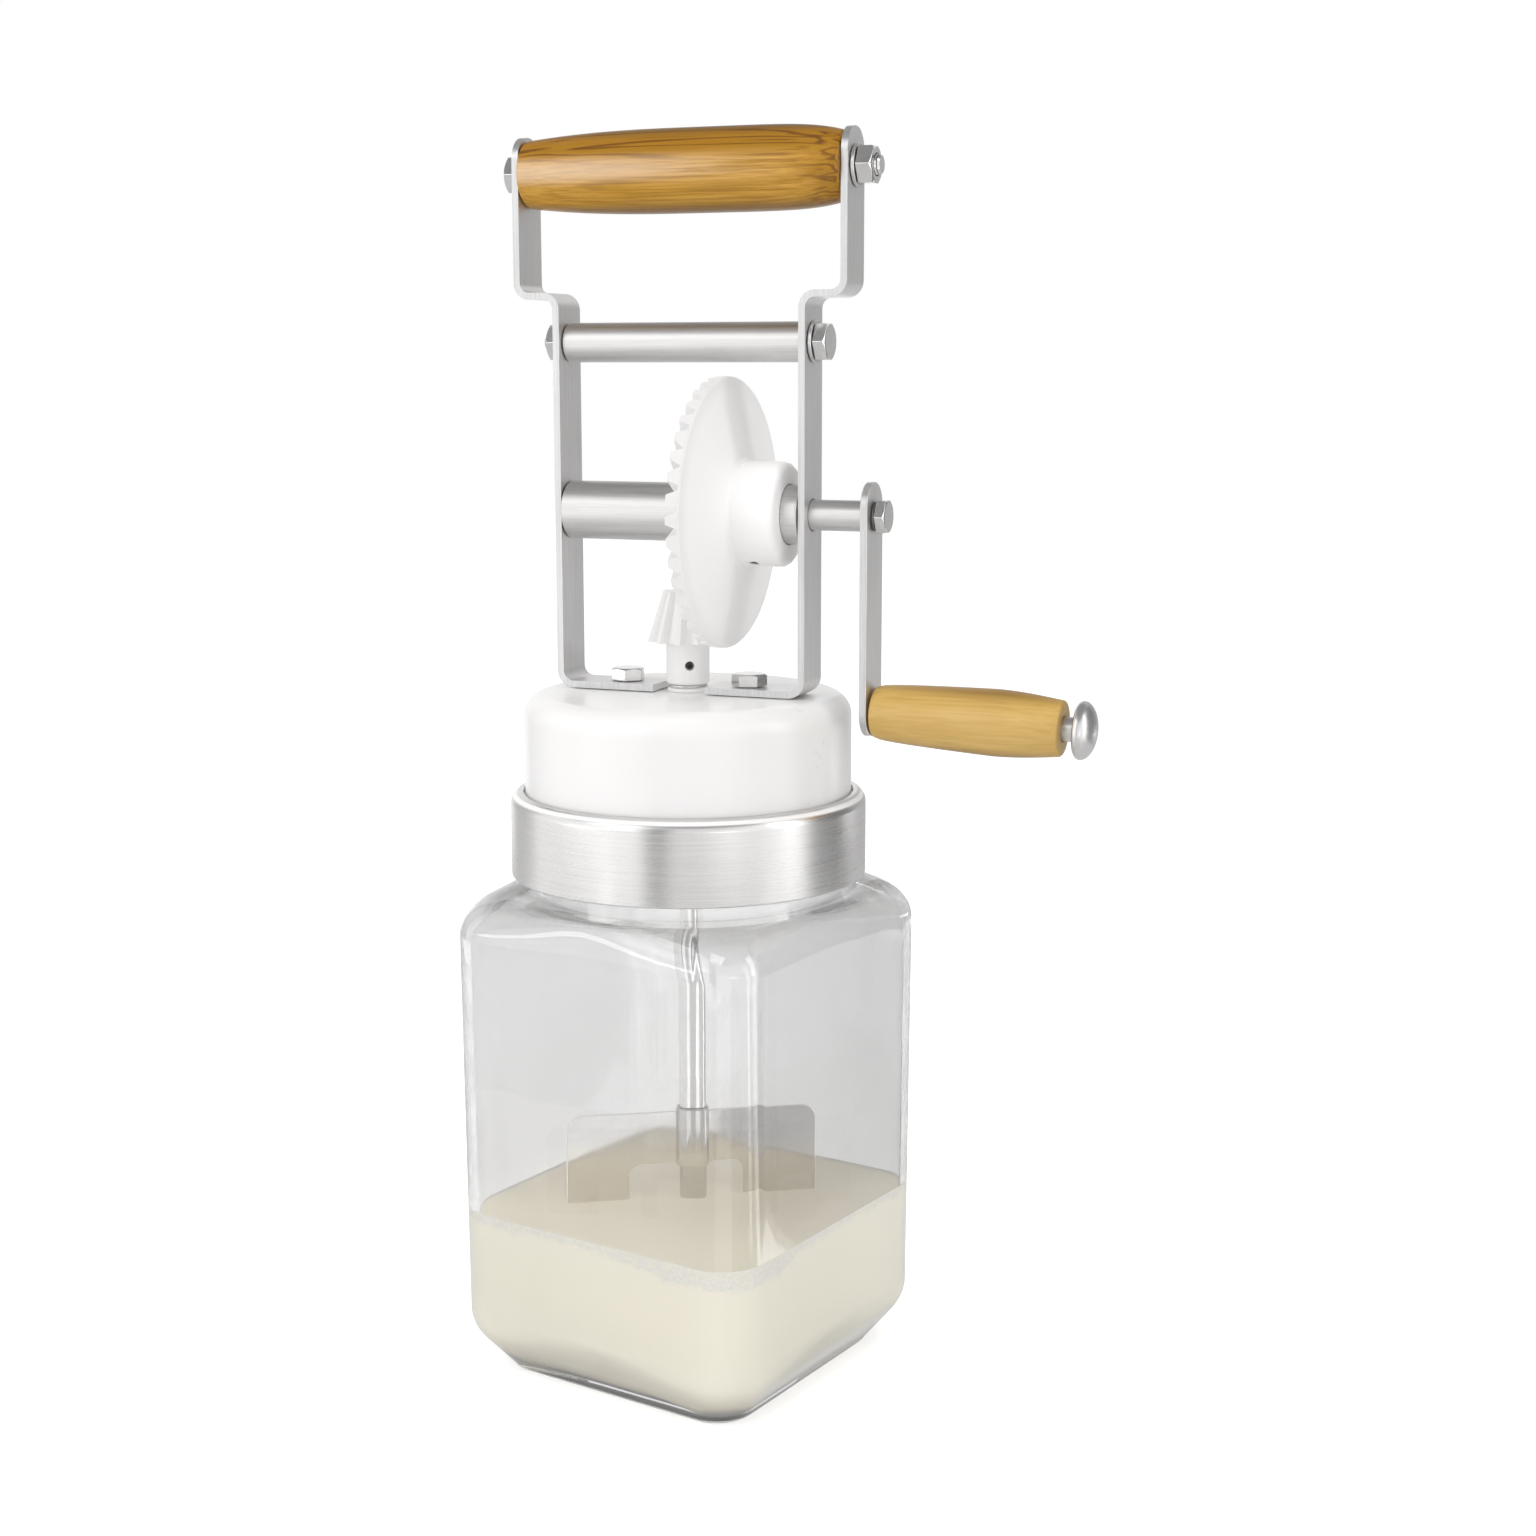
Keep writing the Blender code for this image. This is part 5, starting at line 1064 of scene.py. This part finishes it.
def makeArm():
    half = arm["width"] / 2
    top = axleHeight + arm["topExtra"] + half
    bottom = pinHeight - half
    bend = half - 0.01
    outline = roundCorners([(-half, bottom, bend), (half, bottom, bend), (half, top, bend),
                            (-half, top, bend)], steps=20)
    piece = platePiece("arm_plate", outline, (armInner * mm, 0, 0), Vector((0.0, 1.0, 0.0)), upward,
                       toCrank * (arm["thickness"] * mm))
    for hole, height in (("boltHole", axleHeight), ("pinHole", pinHeight)):
        carve(piece, rod(arm[hole], atHeight(height, armInner - 2), toCrank, 8))
    softenEdges(piece, arm["edge"], 40, 3)
    return piece


def gripRadius(share):
    # Swells quickly at the arm and is widest past the middle
    near, wide, place = grip["near"], grip["wide"], grip["widePlace"]
    if share < place:
        return near + (wide - near) * (share / place) ** grip["nearPower"]
    return wide - (wide - grip["far"]) * (1 - cos(pi / 2 * (share - place) / (1 - place)))


def makeGrip():
    edge, length = grip["edge"], grip["length"]
    outline = [(0, grip["bore"])]
    for angle in quarter(5)[:-1]:
        outline.append((edge * (1 - cos(angle)), grip["near"] - edge + edge * sin(angle)))
    for share in [i / grip["steps"] for i in range(grip["steps"] + 1)]:
        outline.append((edge + (length - 2 * edge) * share, gripRadius(share)))
    for angle in quarter(5)[1:]:
        outline.append((length - edge * (1 - sin(angle)), grip["far"] - edge * (1 - cos(angle))))
    outline.append((length, grip["bore"]))
    return turnedPiece("grip_barrel", outline, pinPlace + pinAlong * ((grip["start"] - fit) * mm), pinAlong)


def makePin():
    shoulder = fit + arm["thickness"]
    neckEnd = grip["start"] - fit + grip["length"] + pin["free"]
    domeStart = neckEnd + pin["headEdge"]
    dome = pin["headHeight"] - pin["headEdge"]
    rim = pin["head"] - pin["lip"]
    outline = [(0, 0), (0, pin["tenon"]), (shoulder, pin["tenon"]), (shoulder, pin["radius"]),
               (neckEnd, pin["radius"]), (neckEnd + 0.15, rim)]
    for angle in quarter(5)[1:]:
        outline.append((domeStart - pin["lipDepth"] * cos(angle), rim + pin["lip"] * sin(angle)))
    for angle in quarter(16)[1:-1]:
        outline.append((domeStart + dome * sin(angle), pin["head"] * cos(angle)))
    outline.append((domeStart + dome, 0))
    return turnedPiece("pin_headed", outline, pinPlace, pinAlong, closed=False)


finishPiece(makeArm(), "crank", strapSteel, "brushed_steel", "crank_arm")
finishPiece(makePin(), "crank", pinSteel, "polished_steel", "grip_pin")
finishPiece(makeGrip(), "grip", gripWood, "grip_wood", "crank_grip")
print("crank made")

for node, name, body, width in (("drive_gear", "gear_wheel", "crank", 0.16),
                                ("pinion", "gear_pinion", "dasher", 0.14)):
    gear = copyOfNode(node, name)
    softenEdges(gear, width, 30)
    mergeSlivers(gear)
    finishPiece(gear, body, gearNylon, "white_plastic", node, smooth=35)
for node in ("gear_set_screw", "pinion_set_screw"):
    nodes[node].data.materials.clear()
    nodes[node].data.materials.append(screwBlack)
print("gears made")

paddle = {"span": 41.0, "arch": 19.7, "archHeight": 66.5, "top": 84.5, "foot": 19.0, "topCorner": 5.0,
          "footCorner": 3.0, "archCorner": 4.0, "sheet": 1.2, "edge": 0.5, "turn": 31.0, "hub": 4.5,
          "hubProud": 1.5}
shaft = {"radius": 3.175, "bottom": 23.0, "top": 258.2, "chamfer": 0.5}
thrustWasher = {"radius": 6.4, "thickness": 0.8}
paddleTurn = radians(paddle["turn"])
paddleAcross = Vector((cos(paddleTurn), sin(paddleTurn), 0.0))
paddleNormal = Vector((-sin(paddleTurn), cos(paddleTurn), 0.0))
# Painted reflection of the cream on the lower shaft and paddle, below these heights
shaftPaintedCreamReflection = {"from": 76.0, "to": 70.0, "tone": (0.60, 0.565, 0.505, 1.0)}
paddlePaintedCreamReflection = {"from": 77.0, "to": 67.0, "tone": (0.68, 0.64, 0.57, 1.0)}
shaftSteel = polishedSteel("shaftSteel", grey(0.74), grey(0.84), 0.09, low=shaftPaintedCreamReflection)
# The paddle's rounded edges carry a painted highlight
sheetSteel = polishedSteel("sheetSteel", grey(0.52), grey(0.62), 0.09,
                           {"half": paddle["sheet"] / 2, "normal": paddleNormal}, paddlePaintedCreamReflection)


def makePaddle():
    span, legs, top, foot = paddle["span"], paddle["arch"], paddle["top"], paddle["foot"]
    arch, topBend, footBend = paddle["archHeight"], paddle["topCorner"], paddle["footCorner"]
    outline = roundCorners([
        (-span, top, topBend), (-span, foot, footBend), (-legs, foot, footBend),
        (-legs, arch, paddle["archCorner"]), (legs, arch, paddle["archCorner"]),
        (legs, foot, footBend), (span, foot, footBend), (span, top, topBend)], steps=10)
    piece = platePiece("paddle_blade", outline, paddleNormal * (-paddle["sheet"] / 2 * mm), paddleAcross,
                       upward, paddleNormal * (paddle["sheet"] * mm))
    softenEdges(piece, paddle["edge"], 40, 3)
    bottom = arch - 0.5
    top += paddle["hubProud"]
    hub = [(bottom, 0, 0), (bottom, paddle["hub"], 0.4), (top, paddle["hub"], 0.6), (top, 0, 0)]
    carve(piece, roundedPiece("hub", hub, 4, 64, closed=False), "UNION")
    carve(piece, rod(shaft["radius"] + fit, atHeight(bottom - 2), upward, top - bottom + 4, 48))
    mergeSlivers(piece)
    return piece


def makeShaft():
    radius, bottom, top, edge = [shaft[key] for key in ("radius", "bottom", "top", "chamfer")]
    corners = [(bottom, 0, 0), (bottom, radius, edge), (top, radius, edge), (top, 0, 0)]
    return roundedPiece("shaft_rod", corners, 3, 64, closed=False)


finishPiece(makePaddle(), "dasher", sheetSteel, "polished_steel", "paddle")
finishPiece(makeShaft(), "dasher", shaftSteel, "polished_steel", "paddle_shaft")
thrustPlace = atHeight(lidTop + fit + bush["flangeThickness"] + fit)
addWasher("thrust_ring", "thrust_washer", thrustPlace, upward, shaft["radius"] + fit, thrustWasher, "dasher")
print("paddle made")

camera = {"place": Vector((0.29139, -0.68996, 0.33004)), "target": Vector((0.02428, 0.00927, 0.20058)),
          "lens": 54.415, "sensor": 36.0}
studio = {"worldLevel": 0.75, "floorColour": 0.80, "floorGlow": 0.50, "ceiling": 1.75}
toCamera = (camera["place"] - camera["target"]) * Vector((1.0, 1.0, 0.0))
toCamera.normalize()
toRight = Vector((-toCamera.y, toCamera.x, 0.0))


def lookFrom(angle, distance, height):
    # A place at so many degrees to the right of the camera, in metres from the shaft and the floor
    direction = toCamera * cos(radians(angle)) + toRight * sin(radians(angle))
    return direction * distance + Vector((0.0, 0.0, height))


def emptyMaterial(name):
    material = bpy.data.materials.new(name)
    material.use_nodes = True
    material.node_tree.nodes.clear()
    return material, ShaderTree(material.node_tree)


def showInReflections(card, level, seen):
    # A plain glowing card that only reflections see: those of metal, those through glass or both
    material, shading = emptyMaterial(card.name + "Glow")
    glow = shading.node("ShaderNodeEmission", {}, {"Color": (level, level, level, 1.0)})
    shading.node("ShaderNodeOutputMaterial", {}, {"Surface": glow})
    card.data.materials.append(material)
    card.visible_camera = False
    card.visible_diffuse = False
    card.visible_shadow = False
    card.visible_glossy = seen != "glass"
    card.visible_transmission = seen != "metal"


def addCard(name, angle, spread, low, high, level, seen="metal"):
    # low and high are the (distance, height) of its edges
    card = addPlane(name, 1.0)
    corners = [(low, -1), (low, 1), (high, -1), (high, 1)]
    for vertex, (edge, side) in zip(card.data.vertices, corners):
        vertex.co = lookFrom(angle + side * spread / 2, *edge)
    showInReflections(card, level, seen)


for name, angle, spread, level, seen in (
        ("card_back_left", -128, 34, 0.60, "metal"), ("card_left", -92, 38, 1.12, "both"),
        ("card_side_left", -68, 10, 1.15, "both"), ("card_key", -50, 26, 1.24, "both"),
        ("card_key_edge", -31, 12, 1.38, "both"), ("card_near_left", -18, 14, 0.14, "both"),
        ("card_front", 7, 34, 0.98, "metal"), ("card_paddle_left", 3.5, 34, 1.90, "glass"),
        ("card_near_right", 43, 36, 1.10, "metal"), ("card_right", 103, 46, 0.22, "metal"),
        ("card_back_right", 146, 40, 0.52, "metal"), ("card_paddle_right", 40.5, 40, 0.75, "glass"),
        ("card_shaft_right", 106, 22, 0.30, "glass")):
    addCard(name, angle, spread, (0.74, 0.0), (0.74, 0.62), level, seen)

# Small bright cards that draw the lines along the jar's shoulder, its front corner and the shaft
onFloor = 0.0004
for card in (("shine_left", -66, 24, (0.72, 0.14), (0.72, 0.19), 3.6),
             ("shine_front", 24, 22, (0.72, 0.12), (0.72, 0.20), 2.6),
             ("shine_right", 114, 30, (0.72, 0.075), (0.72, 0.11), 2.6),
             ("shine_corner_left", -50, 3, (0.44, onFloor), (0.71, onFloor), 4.0),
             ("shine_corner_right", 54, 3, (0.40, onFloor), (0.71, onFloor), 2.4),
             ("shine_handle", -44, 20, (0.73, 0.30), (0.73, 0.36), 3.4)):
    addCard(*card)
for name, angle, spread, level in (
        ("floor_paddle_left", 3.5, 34, 2.3), ("floor_paddle_right", 40.5, 40, 1.10),
        ("floor_shaft", 84, 14, 3.6), ("floor_shaft_right", 108, 30, 0.35)):
    addCard(name, angle, spread, (0.10, onFloor), (0.72, onFloor), level, "glass")
addCard("shine_shaft", 84, 14, (0.73, 0.0), (0.73, 0.5), 2.8, "glass")

# Level cards over the object and on the floor, and a dark card of painted shade under the jar's foot, seen
# through the glass, where little light reaches
footSize = 2 * (jar["footHalf"] - jar["footRound"]) * mm
for name, size, height, level, seen in (("card_ceiling", 4.0, studio["ceiling"], 0.32, "metal"),
                                        ("card_floor", 1.3, 0.0003, 0.68, "metal"),
                                        ("card_under_foot", footSize, -0.0001, 0.16, "glass")):
    showInReflections(addPlane(name, size, (0.0, 0.0, height)), level, seen)


def addFloor():
    floor = addPlane("floor", 9.0, (0.0, 0.0, -0.0002))
    editAll(floor)
    bpy.ops.mesh.subdivide(number_cuts=3)
    objectMode()
    material, shading = emptyMaterial("paleFloor")
    level = studio["floorColour"]
    matt = shading.node("ShaderNodeBsdfDiffuse", {}, {"Color": (level, level, level, 1.0)})
    glow = shading.node("ShaderNodeEmission", {}, {"Strength": shading.seenDirectly() * studio["floorGlow"]})
    both = shading.node("ShaderNodeAddShader", {}, {0: matt, 1: glow})
    shading.node("ShaderNodeOutputMaterial", {}, {"Surface": both})
    floor.data.materials.append(material)


addFloor()

# Each lamp's angle, distance, height, size and radiance
lamps = (("lamp_left", -52, 1.15, 0.64, (0.80, 1.25), 1.65),
         ("lamp_right", 68, 1.25, 0.62, (0.26, 1.2), 2.5), ("lamp_fill", 30, 1.2, 0.62, (0.7, 0.9), 0.5),
         ("lamp_top", -20, 0.35, 1.55, (0.5, 0.5), 5.0))
for name, angle, distance, height, size, radiance in lamps:
    data = bpy.data.lights.new(name, "AREA")
    data.shape = "RECTANGLE"
    data.size, data.size_y = size
    data.energy = radiance * pi * size[0] * size[1]
    lamp = bpy.data.objects.new(name, data)
    lamp.location = lookFrom(angle, distance, height)
    lamp.rotation_euler = (lamp.location - camera["target"]).to_track_quat("Z", "Y").to_euler()
    lamp.visible_glossy = name != "lamp_top"
    bpy.context.scene.collection.objects.link(lamp)

world = bpy.data.worlds.new("studioWorld")
world.use_nodes = True
world.node_tree.nodes.clear()
bpy.context.scene.world = world
sky = ShaderTree(world.node_tree)
skyLevel = sky.node("ShaderNodeMapRange", {}, {
    "Value": sky.seenDirectly(), "To Min": studio["worldLevel"], "To Max": 1.0})
skyGlow = sky.node("ShaderNodeBackground", {}, {"Color": (1.0, 1.0, 1.0, 1.0), "Strength": skyLevel})
sky.node("ShaderNodeOutputWorld", {}, {"Surface": skyGlow})

eyeData = bpy.data.cameras.new("photo_camera")
eyeData.lens = camera["lens"]
eyeData.sensor_width = camera["sensor"]
eye = bpy.data.objects.new("photo_camera", eyeData)
eye.location = camera["place"]
eye.rotation_euler = (camera["target"] - camera["place"]).to_track_quat("-Z", "Y").to_euler()
bpy.context.scene.collection.objects.link(eye)
bpy.context.scene.camera = eye
bpy.context.scene.view_settings.view_transform = "Standard"
print("studio made")
